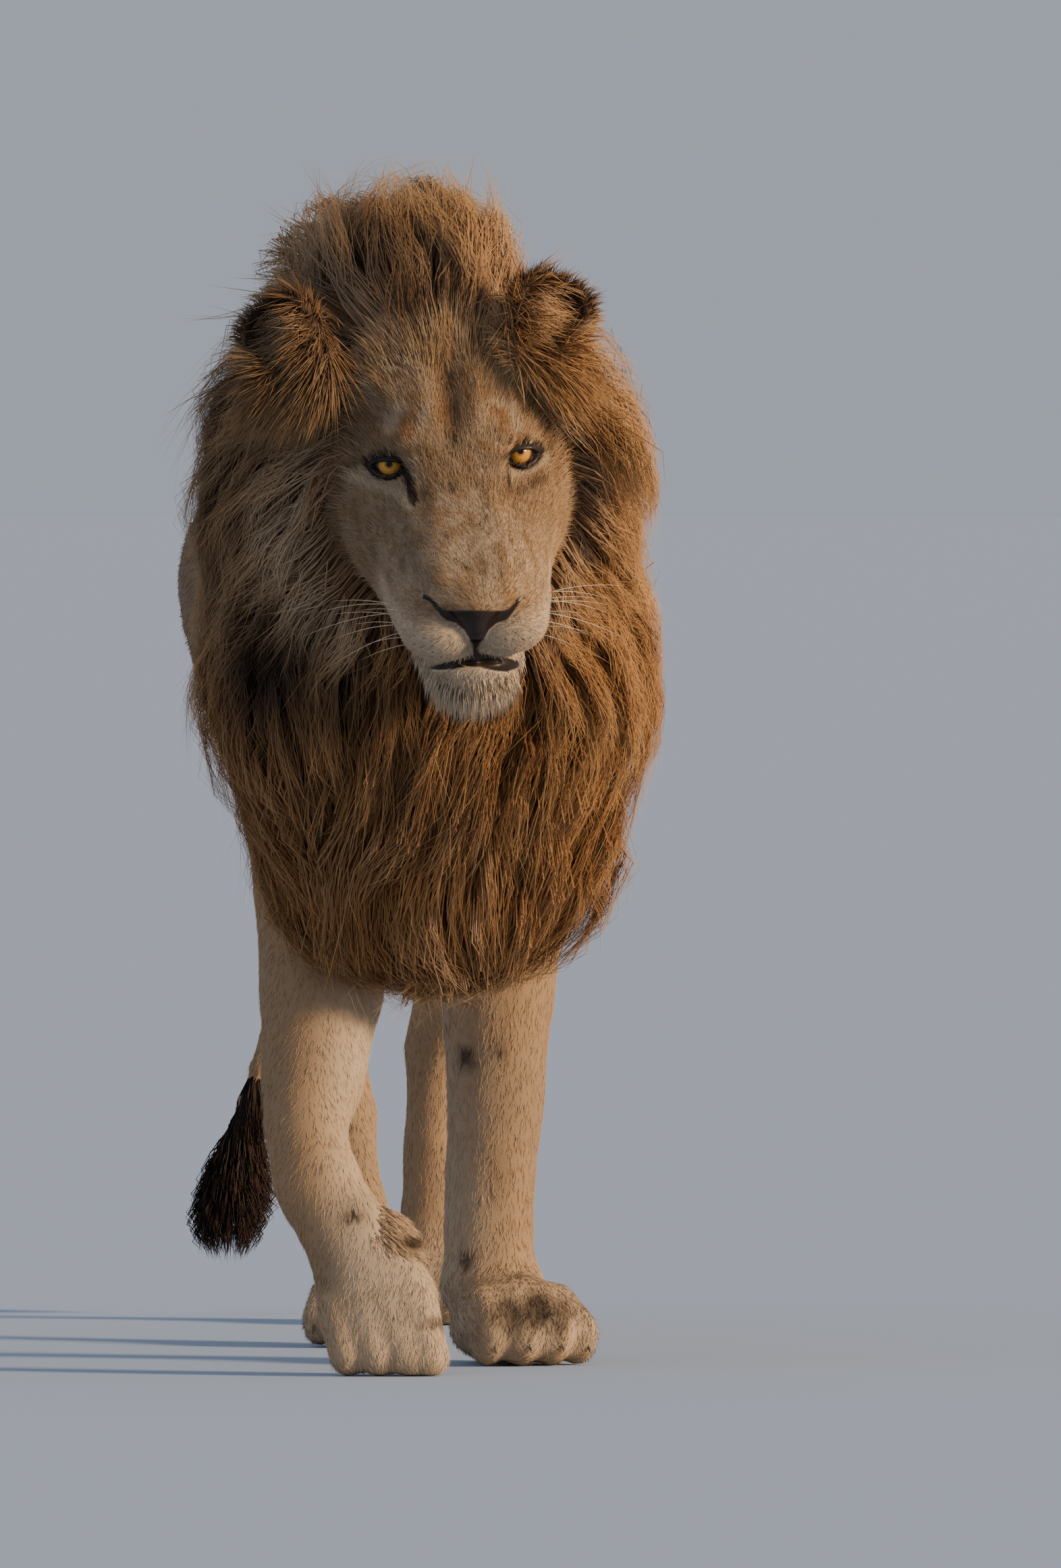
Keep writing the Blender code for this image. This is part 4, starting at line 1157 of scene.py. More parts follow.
# %% All marks
def markings(points):
    """Every mask of the coat at many places."""
    hx, hy, hz = to_head(points).T
    head = (hy < 0.14) & (hy > -0.22) & (np.abs(hx) < 0.16) & (hz > -0.20) & (hz < 0.14)
    face = face_share(points) * head
    mane = (1 - face) * ramp(mane_depth(points), -0.03, 0.0) * (points[:, 1] < 0.22)
    masks = Marks((name, np.zeros(len(points))) for name in MASKS)
    bare = mark_face(points, masks, head, face)
    mark_mane(points, masks, mane)
    mark_body(points, masks, face, mane)
    mark_ears(points, masks)
    for name in ("pale", "rust"):
        masks[name] *= 1 - bare
    return masks


skin_marks = markings(skin_points)
skin_face = face_share(skin_points)
# Painted shade on the skin deep under the mane.
shade_under_mane = ramp(mane_depth(skin_points), 0.010, 0.035) * (1 - skin_face)
skin_marks.add(dark=shade_under_mane * 0.30)
# Painted shade on the skin under the hair round the ears.
for centre, ear_across, ear_up, ear_open in EAR_FRAMES.values():
    shade_under_ear_hair = 1 - ramp(np.linalg.norm(skin_points - centre, axis=1), 0.060, 0.080)
    skin_marks.add(dark=shade_under_ear_hair * 0.78 * (1 - skin_face))
for name in MASKS:
    layer = skin.data.attributes.new(name, "FLOAT", "POINT")
    layer.data.foreach_set("value", skin_marks[name].astype(np.float32))
print("markings", {name: round(float(skin_marks[name].mean()), 3) for name in MASKS})

# %% [markdown]
# ## Which way the coat lies
# Hair runs back from the nose over the forehead and cheeks, along the trunk to
# the rump, down the legs and out over the toes.  The lie is a direction along
# the skin at every place.

# %% The lie of the coat
def blend(first, second, share):
    """Rows of one direction turning into another as the share grows."""
    return first * (1 - share[:, None]) + second * share[:, None]


def lie_of_coat(points, normals):
    x, y, z = points.T
    flow = np.tile([0.0, 1.0, -0.32], (len(points), 1))
    leg = 1 - ramp(z, 0.46, 0.72)
    leg *= 1 - ramp(melt(points, LEG_MASSES), 0.01, 0.05)
    flow = blend(flow, np.array([0.0, 0.18, -1.0]), leg)
    toes_ahead, nearest = np.zeros_like(points), np.full(len(points), 1e3)
    for root, tip, toe_across, toe, depth in TOES:
        d = np.linalg.norm(points - root, axis=1)
        toes_ahead[d < nearest] = unit(tip - root)
        nearest = np.minimum(nearest, d)
    flow = blend(flow, toes_ahead + [0, 0, -0.2], 1 - ramp(z, 0.06, 0.10))
    tail_d, along = distance_to_line(points, TAIL_LINE)
    steps = np.diff(np.array(TAIL_LINE), axis=0)
    step = steps[np.minimum((along * len(steps)).astype(int), len(steps) - 1)]
    flow = blend(flow, unit(step), (1 - ramp(tail_d, 0.035, 0.060)) * ramp(y, 1.12, 1.17))
    local = to_head(points)
    away = local - [0.0, -0.205, -0.060]
    away[:, 1] *= 1.25
    ones = np.ones(len(x))
    up_forehead = unit(np.stack([local[:, 0] * 5, ones, ones * 0.45], 1))
    away = blend(unit(away), up_forehead, ramp(local[:, 1], -0.03, 0.03) * ramp(local[:, 2], -0.01, 0.03))
    down_chin = unit(np.stack([local[:, 0] * 6, ones * 0.7, -ones], 1))
    away = blend(away, down_chin, ramp(-0.126 - local[:, 2], 0.0, 0.01))
    head = 1 - ramp(melt(points, HEAD_MASSES), 0.004, 0.03)
    head *= (local[:, 1] < 0.16)
    flow = blend(flow, away @ HEAD_TURN.T, head)
    for centre, ear_across, ear_up, ear_open in EAR_FRAMES.values():
        flow[np.linalg.norm(points - centre, axis=1) < 0.06] = ear_up
    flow -= normals * (flow * normals).sum(axis=1, keepdims=True)
    return unit(flow)


# %% [markdown]
# ## A place on the unwrapped skin
# Each tuft needs a small patch on a flat map, at the place of its root.  Every
# part of the body is peeled like a tube: one way round it, the other along it.

# %% Peeling the body
# Each tube has two ends and its patch of the map: left, bottom, right, top.
TUBES = {
    "head": (from_head((0, -0.20, -0.06)), from_head((0, 0.20, 0.00)), (0.00, 0.00, 0.50, 0.28)),
    "neck": ((0, -0.36, 0.86), (-0.03, 0.16, 0.80), (0.50, 0.00, 1.00, 0.28)),
    "trunk": ((-0.02, 0.0, 0.80), (-0.095, 1.18, 0.82), (0.00, 0.28, 1.00, 0.64)),
    "left_fore": ((0.072, 0.13, 0.62), (0.052, 0.12, 0.0), (0.00, 0.64, 0.24, 0.98)),
    "right_fore": ((-0.122, 0.04, 0.62), (-0.08, -0.19, 0.0), (0.24, 0.64, 0.48, 0.98)),
    "left_hind": ((0.02, 0.95, 0.62), (-0.016, 1.16, 0.0), (0.48, 0.64, 0.70, 0.98)),
    "right_hind": ((-0.16, 0.80, 0.62), (-0.078, 0.58, 0.0), (0.70, 0.64, 0.92, 0.98)),
    "tail": ((-0.096, 1.16, 0.94), (-0.24, 1.42, 0.05), (0.93, 0.64, 1.00, 0.98)),
}
MARGIN = 0.008


def tube_of(points):
    """Name of the tube that each place belongs to."""
    x, y, z = points.T
    legs, fore = z < 0.56, y < 0.45
    left_behind = (x > -0.055) | (y > 0.95)
    part = np.full(len(points), "trunk", "<U10")
    part[y < 0.10] = "neck"
    part[(to_head(points)[:, 1] < 0.10) & (melt(points, HEAD_MASSES) < 0.04)] = "head"
    part[legs & fore & (x > -0.035)] = "left_fore"
    part[legs & fore & (x <= -0.035)] = "right_fore"
    part[legs & ~fore & left_behind] = "left_hind"
    part[legs & ~fore & ~left_behind] = "right_hind"
    part[(distance_to_line(points, TAIL_LINE)[0] < 0.09) & (y > 1.19)] = "tail"
    return part


def peel(points):
    """Place on the flat map for many places on the skin."""
    part = tube_of(points)
    out = np.zeros((len(points), 2))
    for name, (start, end, (u0, v0, u1, v1)) in TUBES.items():
        here = part == name
        length = np.array(end) - np.array(start)
        axis = unit(length)
        side = unit(np.cross(axis, [0.0, 0.3, 1.0] if abs(axis[2]) < 0.8 else [0.0, 1.0, 0.0]))
        up = np.cross(side, axis)
        rel = points[here] - start
        round_it = np.arctan2(rel @ side, rel @ up) / (2 * math.pi) + 0.5
        along = np.clip((rel @ axis) / np.linalg.norm(length) * 0.84 + 0.08, 0.0, 1.0)
        out[here, 0] = u0 + MARGIN + round_it * (u1 - u0 - 2 * MARGIN)
        out[here, 1] = v0 + MARGIN + along * (v1 - v0 - 2 * MARGIN)
    return out


# %% [markdown]
# ## Hair as thin solid spikes
# Every hair or tuft is a closed spike with three sides that tapers along a
# path.  Thousands of them are joined in one mesh straight from arrays, which
# is far quicker than adding them one by one.

# %% Keeping hair out of the skin
LIFT, LOWEST = 0.0010, 0.0015
NEAR, DEEP = 0.022, 0.070


def clear_of_skin(paths, reach):
    """Lift every knot past the root out of the skin, and none below the floor."""
    flat = paths[:, 1:].reshape(-1, 3)
    hits = [skin_tree.find_nearest(place, reach) for place in flat.tolist()]
    close = np.array([hit[0] is not None for hit in hits])
    nearest = np.array([hit[0] or (0, 0, 0) for hit in hits])
    facing = np.array([hit[1] or (0, 0, 1) for hit in hits])
    height = ((flat - nearest) * facing).sum(axis=1)
    flat = flat + facing * np.where(close, np.maximum(0, LIFT - height), 0)[:, None]
    flat[:, 2] = np.maximum(flat[:, 2], LOWEST)
    return np.concatenate([paths[:, :1], flat.reshape(len(paths), -1, 3)], axis=1)


# %% Building joined spikes
COAT_PIECES = []
TIP_SHARE, ROOF_HEIGHT = 0.15, 0.30
PATCH = 0.0015


def spike_faces(knots):
    """Triangles of one closed spike: its foot, its sides and its tip."""
    faces = [(0, 2, 1)]
    for k in range(knots - 2):
        for corner in range(3):
            a, b = k * 3 + corner, k * 3 + (corner + 1) % 3
            faces += [(a, b, b + 3), (a, b + 3, a + 3)]
    last = (knots - 2) * 3
    return np.array(faces + [(last + corner, last + (corner + 1) % 3, last + 3) for corner in range(3)])


def spike_corners(paths, widths, taper, upward):
    """Corners of every spike: a low roof that lies flat, or round where there is no upward way."""
    count, knots = paths.shape[:2]
    along = np.linspace(0, 1, knots)
    heading = unit(np.gradient(paths, axis=1))
    helper = unit(np.cross(heading, np.array([0.31, 0.17, 0.93])))
    other = np.cross(heading, helper)
    turn = RANDOM.uniform(0, 2 * math.pi, count)
    narrowing = np.clip(1 - along ** taper, 0, 1) * (1 - TIP_SHARE) + TIP_SHARE
    size = widths[:, None] / 2 * narrowing[None, :]
    rings = []
    for corner in range(3):
        angle = turn + corner * 2 * math.pi / 3
        way = helper * np.cos(angle)[:, None, None] + other * np.sin(angle)[:, None, None]
        if upward is not None:
            sideways = unit(np.cross(heading, upward))
            roof = np.cross(sideways, heading)
            way = (sideways, -sideways, roof * ROOF_HEIGHT * 2)[corner]
        rings.append(paths + way * size[:, :, None])
    body = np.stack(rings, axis=2)[:, :-1].reshape(count, (knots - 1) * 3, 3)
    return np.concatenate([body, paths[:, -1:]], axis=1)


def mesh_from_arrays(name, corner_places, triangle_corners, smooth):
    """A mesh straight from arrays of places and of triangles."""
    mesh = bpy.data.meshes.new(name)
    mesh.vertices.add(len(corner_places))
    mesh.vertices.foreach_set("co", corner_places.astype(np.float32).ravel())
    mesh.loops.add(len(triangle_corners))
    mesh.loops.foreach_set("vertex_index", triangle_corners.astype(np.int32))
    mesh.polygons.add(len(triangle_corners) // 3)
    mesh.polygons.foreach_set("loop_start", np.arange(0, len(triangle_corners), 3, dtype=np.int32))
    mesh.polygons.foreach_set("use_smooth", np.full(len(triangle_corners) // 3, smooth))
    mesh.update(calc_edges=True)
    return mesh


def spikes(name, paths, widths, marks, tone, material, slot, taper=1.4, upward=None, reach=NEAR):
    """One mesh of closed three-sided spikes along paths (count, knots, 3)."""
    if reach:
        paths = clear_of_skin(paths, reach)
    count, knots = paths.shape[:2]
    verts = spike_corners(paths, widths, taper, upward)
    per = verts.shape[1]
    every = (spike_faces(knots)[None] + np.arange(count)[:, None, None] * per).reshape(-1)
    mesh = mesh_from_arrays(name, (verts + OFFSET).reshape(-1, 3), every, upward is None)
    along = np.linspace(0, 1, knots)
    ring_of = np.append(np.repeat(np.arange(knots - 1), 3), knots - 1)
    corner_of = np.append(np.tile(np.arange(3), knots - 1), 0)
    values = {"along": np.tile(along[ring_of], count), "tone": np.repeat(tone, per)}
    for mask in MASKS:
        given = marks[mask]
        values[mask] = np.repeat(given, per) if given.ndim == 1 else given[:, ring_of].ravel()
    for label, value in values.items():
        mesh.attributes.new(label, "FLOAT", "POINT").data.foreach_set("value", value.astype(np.float32))
    small = np.stack([corner_of * PATCH - PATCH, along[ring_of] * 2 * PATCH - PATCH], 1)
    place = peel(paths[:, 0])[:, None, :] + small[None]
    flat_map = mesh.uv_layers.new(name="OFBake")
    flat_map.uv.foreach_set("vector", place.reshape(-1, 2)[every].astype(np.float32).ravel())
    obj = place_object(name, mesh)
    mesh.materials.append(material)
    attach(obj, "root")
    COAT_PIECES.append(obj)
    print(name, count, "spikes", len(every) // 3, "triangles")


# %% Scattering roots over the skin
skin.data.calc_loop_triangles()
triangles = np.empty(len(skin.data.loop_triangles) * 3, np.int32)
skin.data.loop_triangles.foreach_get("vertices", triangles)
triangles = triangles.reshape(-1, 3)
ta, tb, tc = (skin_points[triangles[:, i]] for i in range(3))
triangle_area = np.linalg.norm(np.cross(tb - ta, tc - ta), axis=1) / 2
skin_tree = bvhtree.BVHTree.FromPolygons(skin_points.tolist(), triangles.tolist())
print("skin area", round(float(triangle_area.sum()), 3), "m2")


def scatter(count, weight):
    """Random roots on the skin where a weight per corner is high, with their normals."""
    chance = triangle_area * weight[triangles].mean(axis=1)
    chosen = RANDOM.choice(len(triangles), count, p=chance / chance.sum())
    a, b = RANDOM.uniform(size=count), RANDOM.uniform(size=count)
    flip = a + b > 1
    a[flip], b[flip] = 1 - a[flip], 1 - b[flip]
    share = np.stack([1 - a - b, a, b], 1)[:, :, None]
    points = (skin_points[triangles[chosen]] * share).sum(axis=1)
    normals = unit((skin_normals[triangles[chosen]] * share).sum(axis=1))
    return points, normals


def off_skin(way, normals, least=0.16):
    """Turn hair that would grow into the skin until it just clears it."""
    short = least - (way * normals).sum(axis=1, keepdims=True)
    return unit(way + normals * np.maximum(0, short))


# %% [markdown]
# ## Finishes
# Sums on sockets are written as plain Python: a small class wraps a socket and
# turns + - * into Math nodes, and one function makes any other node.

# %% Socket arithmetic


class Value:
    """A number that a shader works out."""

    def __init__(self, tree, socket):
        self.tree, self.socket = tree, socket

    def math(self, operation, a, b=None):
        return add_node(self.tree, "ShaderNodeMath", {"operation": operation}, {0: a, 1: b})

    def __add__(self, other):
        return self.math("ADD", self, other)

    def __mul__(self, other):
        return self.math("MULTIPLY", self, other)

    def __sub__(self, other):
        return self.math("SUBTRACT", self, other)

    def __rsub__(self, other):
        return self.math("SUBTRACT", other, self)

    __radd__, __rmul__ = __add__, __mul__


def add_node(tree, kind, settings, values, output=0):
    """Any node: its settings first, then the values or links of its sockets."""
    node = tree.nodes.new(kind)
    for key, setting in settings.items():
        if key == "stops":
            ramp_stops = node.color_ramp.elements
            while len(ramp_stops) < len(setting):
                ramp_stops.new(1.0)
            for stop, (position, colour) in zip(ramp_stops, setting):
                stop.position, stop.color = position, (*colour, 1.0)
        else:
            setattr(node, key, setting)
    for key, value in values.items():
        if isinstance(value, Value):
            tree.links.new(value.socket, node.inputs[key])
        elif value is not None:
            node.inputs[key].default_value = value
    return Value(tree, node.outputs[output])


def mix_colour(tree, share, first, second, blend="MIX"):
    """Colour between two colours."""
    rgba = [c if isinstance(c, Value) else (*c, 1.0) for c in (first, second)]
    return add_node(tree, "ShaderNodeMix", {"data_type": "RGBA", "blend_type": blend},
                    {0: share, 6: rgba[0], 7: rgba[1]}, 2)


def tinted(tree, colour, by):
    """A colour times another colour."""
    return mix_colour(tree, 1.0, colour, by, "MULTIPLY")


def attribute(tree, name):
    return add_node(tree, "ShaderNodeAttribute", {"attribute_name": name}, {}, 2)


def noise(tree, scale, detail=3.0, roughness=0.5):
    place = add_node(tree, "ShaderNodeTexCoord", {}, {}, 3)
    return add_node(tree, "ShaderNodeTexNoise", {}, {"Vector": place, "Scale": scale, "Detail": detail,
                                                     "Roughness": roughness})


def new_material(name, constants):
    material = bpy.data.materials.new(name)
    material.use_nodes = True
    surface = material.node_tree.nodes["Principled BSDF"]
    for key, value in constants.items():
        surface.inputs[key].default_value = value
    return material, material.node_tree, surface


def feed(tree, surface, key, value):
    tree.links.new(value.socket, surface.inputs[key])


# %% Coat colours
TAN, CREAM, RUST, DARK, GREY = ((0.370, 0.220, 0.105), (0.620, 0.500, 0.360), (0.250, 0.098, 0.032),
                                (0.018, 0.011, 0.009), (0.205, 0.150, 0.100))
MANE_GOLD, TIP = (0.450, 0.225, 0.075), (0.700, 0.440, 0.190)


def coat_colour(tree, base):
    """The marked coat: a base mixed with grey, cream, rust and dark by their masks."""
    fleck = noise(tree, 60.0, 4.0)
    colour = mix_colour(tree, attribute(tree, "grey") * 0.85, base, GREY)
    colour = mix_colour(tree, attribute(tree, "pale") * (fleck * 0.16 + 0.84), colour, CREAM)
    colour = mix_colour(tree, attribute(tree, "rust") * (fleck * 0.6 + 0.55), colour, RUST)
    return mix_colour(tree, attribute(tree, "dark") * (fleck * 0.25 + 0.86), colour, DARK)


skin_finish, tree, surface = new_material("short coat over skin", {"Specular IOR Level": 0.25})
colour = coat_colour(tree, TAN)
grain = noise(tree, 420.0, 4.0, 0.65)
colour = mix_colour(tree, grain * 0.55 + 0.05, colour, tinted(tree, colour, (0.50, 0.44, 0.40)))
feed(tree, surface, "Base Color", colour)
feed(tree, surface, "Roughness", 0.72 - attribute(tree, "wet") * 0.40)
dry = 1 - attribute(tree, "wet") * 0.75
height = (grain * 0.8 + noise(tree, 1100.0, 2.0) * 0.5) * dry
feed(tree, surface, "Normal", add_node(tree, "ShaderNodeBump", {}, {"Strength": 0.55, "Distance": 0.0014,
                                                                   "Height": height}))
skin.data.materials.clear()
skin.data.materials.append(skin_finish)
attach(skin, "root")
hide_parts("head", "neck", "trunk", "foreleg_left", "foreleg_right", "forepaw_left", "forepaw_right",
            "hindleg_left", "hindleg_right", "hindpaw_left", "hindpaw_right", "tail_base", "tail_middle",
            "tail_tuft", "ear_left", "ear_right")


def hair_material(name, base, shade_root, tip_pale_and_highlight=0.10):
    """Hair: darker at the root as painted shade deep in the coat, paler at the tip as pale hair tips with a
    painted highlight, each hair a little different.
    """
    material, tree, surface = new_material(name, {"Specular IOR Level": 0.20, "Roughness": 0.62})
    colour = coat_colour(tree, base)
    tone = attribute(tree, "tone")
    colour = mix_colour(tree, tone, tinted(tree, colour, (0.58, 0.50, 0.44)), colour)
    tip = attribute(tree, "along")
    # Painted shade: darker toward the root, deep in the coat.
    share = tip * (1 - shade_root) + shade_root
    colour = mix_colour(tree, share, tinted(tree, colour, (0.42, 0.36, 0.32)), colour)
    # Pale hair tips, with a painted highlight where light catches them.
    colour = mix_colour(tree, tip * tip * tip * tip_pale_and_highlight * (1 - attribute(tree, "dark")), colour, TIP)
    feed(tree, surface, "Base Color", colour)
    return material


face_hair = hair_material("face hair", TAN, 0.58, 0.22)
body_hair = hair_material("body hair", TAN, 0.78)
leg_hair = hair_material("leg hair", (0.400, 0.225, 0.098), 0.80, 0.10)
mane_hair = hair_material("mane hair", MANE_GOLD, 0.45, 0.42)
print("finishes made")

# %% [markdown]
# ## Short coat
# On the face and body the coat lies flat.  Small spikes, from half a centimetre
# to two centimetres long and leaning far over, break the smooth outline.

# %% Short tufts
LESS = 1.0
BARE_LIMIT = 0.3


def hair_widths(width, count):
    """Each hair a little thicker or thinner than the others."""
    return width * RANDOM.uniform(0.7, 1.3, count)


def short_tufts(name, count, weight, length, width, lean, contrast, material, slot):
    """Short tufts over the skin: lean is how steeply they stand."""
    count = int(count * LESS)
    points, normals = scatter(count, weight)
    lie = lie_of_coat(points, normals)
    side = np.cross(normals, lie)
    way = lie + normals * lean * RANDOM.uniform(0.5, 1.5, (count, 1))
    way = unit(way + side * RANDOM.normal(0, 0.22, (count, 1)))
    reach = length * RANDOM.uniform(0.65, 1.25, (count, 1))
    feet = points - normals * 0.0003
    paths = np.stack([feet, feet + way * reach], 1)
    tone = np.clip(1.05 - contrast * RANDOM.uniform(0, 1, count), 0.0, 1.0)
    spikes(name, paths, hair_widths(width, count), markings(points), tone, material, slot,
           upward=normals[:, None, :])


px, py, pz = skin_points.T
bare_weight = skin_marks["wet"]
for s in (1, -1):
    bare_weight = np.maximum(bare_weight, (almond(skin_points, s) < 0.0030).astype(float))
furry = bare_weight < BARE_LIMIT
off_face, off_ears = 1 - skin_face, ~ear_zone(skin_points)
face_weight = skin_face * (py < -0.2) * furry
muzzle = ramp(-0.05 - to_head(skin_points)[:, 1], -0.03, 0.03)
mane_weight = ramp(mane_depth(skin_points), 0.004, 0.028) * off_face * off_ears
body_weight = (1 - mane_weight) * off_face * off_ears * (pz > 0.001)
leg_weight = body_weight * (pz < 0.50) * (pz > 0.09)
trunk_weight, rear = body_weight * (pz >= 0.50), py > 0.45
# Piece, count, where, length, width, lean, contrast, hair and slot.
SHORT_COAT = (
    ("face_coat", 30000, face_weight * (1 - muzzle), 0.0110, 0.00105, 0.26, 0.85, face_hair, "face_coat"),
    ("muzzle_coat", 21000, face_weight * muzzle, 0.0065, 0.0008, 0.26, 0.70, face_hair, "face_coat"),
    ("leg_coat", 25000, leg_weight, 0.0120, 0.0011, 0.13, 0.26, leg_hair, "leg_coat"),
    ("front_coat", 18000, trunk_weight * ~rear, 0.0170, 0.0015, 0.11, 0.75, body_hair, "body_coat"),
    ("rear_coat", 25000, trunk_weight * rear, 0.0180, 0.0016, 0.11, 0.75, body_hair, "body_coat"),
    ("paw_coat", 18000, body_weight * (pz < 0.10), 0.0110, 0.0010, 0.20, 0.34, leg_hair, "leg_coat"),
)
for tufts in SHORT_COAT:
    short_tufts(*tufts)

# %% [markdown]
# ## The mane
# Long hair is drawn along paths.  Nineteen hundred guide locks grow from the
# neck and run out to the mane's outline, then sweep away from the face and hang
# down.  Each hair follows the nearest guide and strays a little from it.

# %% Guide locks
MANE_CENTRE = from_head((0.0, 0.07, -0.03))
LOCK_COUNT, LOCK_KNOTS = 1900, 7
LOCK_WAVE = 0.0135
MANE_ROOT = 0.002


def mane_flow(points):
    """The way the mane sweeps at many places: out from the face, back and down."""
    x, y, z = points.T
    out = points - MANE_CENTRE
    out[:, 1] = 0.0
    out = unit(out)
    crest = ramp(z, 1.02, 1.12) * (1 - ramp(np.abs(x + 0.02), 0.10, 0.16))
    low = 1 - ramp(z, 0.66, 0.86)
    nape = ramp(y, -0.16, -0.02)
    down = 0.80 + 0.55 * low - 0.10 * nape - 0.85 * crest
    back = 0.40 - 0.34 * low + 0.75 * nape * (1 - low) + 0.12 * crest
    sideways = 0.66 - 0.50 * low - 0.36 * nape + 0.60 * crest
    flow = out * sideways[:, None]
    flow[:, 2] -= down
    flow[:, 1] += back
    swirl = wander(points, 11.0, 40)
    flow[:, 0] += (0.24 + 0.36 * low + 0.24 * crest) * swirl
    flow[:, 2] += 0.30 * crest * wander(points, 26.0, 44)
    return unit(flow)


def mane_length(points):
    z = points[:, 2]
    local = to_head(points)
    low = 1 - ramp(z, 0.62, 0.85)
    crest = ramp(z, 1.03, 1.12)
    uneven = wander(points, 40.0, 77)
    length = 0.165 + 0.080 * low - 0.050 * crest + (0.026 + 0.016 * low + 0.012 * crest) * uneven
    near_face = 1 - ramp(local[:, 1], 0.06, 0.14)
    return length * (1 - 0.42 * near_face * (1 - low))


def grow(points, normals, length, goal_depth, knots):
    """Paths from roots on the skin that rise to a goal depth below the outline and sweep on."""
    paths = [points - normals * MANE_ROOT]
    place = points.copy()
    way = unit(normals + mane_flow(points) * 0.4)
    for k in range(1, knots):
        depth = mane_depth(place)
        outward = unit(-gradient(mane_depth, place, 0.004))
        flow = mane_flow(place)
        climb = np.clip((depth - goal_depth) / 0.030, -1.0 + 0.6 * k / knots, 1.4)
        along_skin = flow - outward * (flow * outward).sum(axis=1, keepdims=True) * (climb < 0.6)[:, None]
        wanted = unit(unit(along_skin) + outward * climb[:, None] * 0.95)
        way = unit(way * 0.35 + wanted * 0.65)
        place = place + way * (length / (knots - 1))[:, None]
        paths.append(place.copy())
    return np.stack(paths, 1)


lock_roots, lock_normals = scatter(LOCK_COUNT, mane_weight)
lock_goal = RANDOM.uniform(-0.002, 0.032, LOCK_COUNT)
lock_length = mane_length(lock_roots) * RANDOM.uniform(0.78, 1.20, LOCK_COUNT)
locks = grow(lock_roots, lock_normals, lock_length, lock_goal, LOCK_KNOTS)
lock_tone = RANDOM.uniform(0.0, 1.0, LOCK_COUNT) ** 0.75
lock_s = np.linspace(0, 1, LOCK_KNOTS)[None, :, None]
lock_side = unit(np.cross(unit(np.gradient(locks, axis=1)), [0.0, -1.0, 0.25]))
lock_phase = RANDOM.uniform(0, 6.28, (LOCK_COUNT, 1, 1))
lock_pace = RANDOM.uniform(3.0, 6.5, (LOCK_COUNT, 1, 1))
locks += lock_side * np.sin(lock_phase + lock_pace * lock_s) * lock_s * LOCK_WAVE
tree_of_locks = kdtree.KDTree(LOCK_COUNT)
for index, root in enumerate(lock_roots):
    tree_of_locks.insert(root, index)
tree_of_locks.balance()
print("guide locks", LOCK_COUNT)

# %% Hairs that follow the locks
WIDEST, HIGHEST = 0.248, 1.215
SIDE_GIVE, TOP_GIVE = 0.018, 0.022


def hold_in(path):
    """Bend hair softly back where it would stand out past the widest and highest of the lion."""
    beyond = np.abs(path[:, :, 0] + OFFSET[0]) - WIDEST
    back = np.maximum(0, beyond - SIDE_GIVE * np.tanh(beyond / SIDE_GIVE))
    path[:, :, 0] -= np.sign(path[:, :, 0]) * back
    beyond = path[:, :, 2] + OFFSET[2] - HIGHEST
    path[:, :, 2] -= np.maximum(0, beyond - TOP_GIVE * np.tanh(beyond / TOP_GIVE))
    return path


def follow(points, normals, knots, gather, stray, shorter):
    """Hair paths: nearest guide lock, drawn together toward its tip, with a wavy stray."""
    count = len(points)
    nearest = np.array([[hit[1] for hit in tree_of_locks.find_n(p, 2)] for p in points])
    pick = nearest[:, 0].copy()
    swap = RANDOM.uniform(size=count) < 0.22
    pick[swap] = nearest[swap, 1]
    s = np.linspace(0, 1, knots)
    reach = np.clip(RANDOM.normal(0.93, 0.14, count) * shorter, 0.35, 1.20 * max(1.0, shorter))
    at = s[None] * reach[:, None] * (LOCK_KNOTS - 1)
    low = np.clip(at.astype(int), 0, LOCK_KNOTS - 2)
    part = (at - low)[:, :, None]
    guide = locks[pick]
    rows = np.arange(count)[:, None]
    path = guide[rows, low] * (1 - part) + guide[rows, low + 1] * part
    offset = points - lock_roots[pick]
    path += offset[:, None, :] * (1 - gather * s ** 1.3)[None, :, None]
    heading = unit(np.gradient(path, axis=1))
    side = unit(np.cross(heading, normals[:, None, :]))
    lift = np.cross(side, heading)
    phase, pace = RANDOM.uniform(0, 6.28, (count, 2)), RANDOM.uniform(4.0, 9.0, (count, 2))
    grows = (s ** 1.2)[None] * np.where(RANDOM.uniform(size=(count, 1)) < 0.06, 2.2, 1.0)
    for way, column in ((side, 0), (lift, 1)):
        wave = np.sin(phase[:, column:column + 1] + pace[:, column:column + 1] * s[None])
        drift = np.clip(RANDOM.normal(0, 1.0, (count, 1)), -1.8, 1.8) * s[None] ** 2
        path += way * ((wave * 0.60 + drift * 0.7) * grows * stray)[:, :, None]
    path[:, 0] = points - normals * MANE_ROOT
    return hold_in(path), pick


# %% The mane, piece by piece
MANE_WIDTH, MANE_TAPER = 0.0014, 1.8


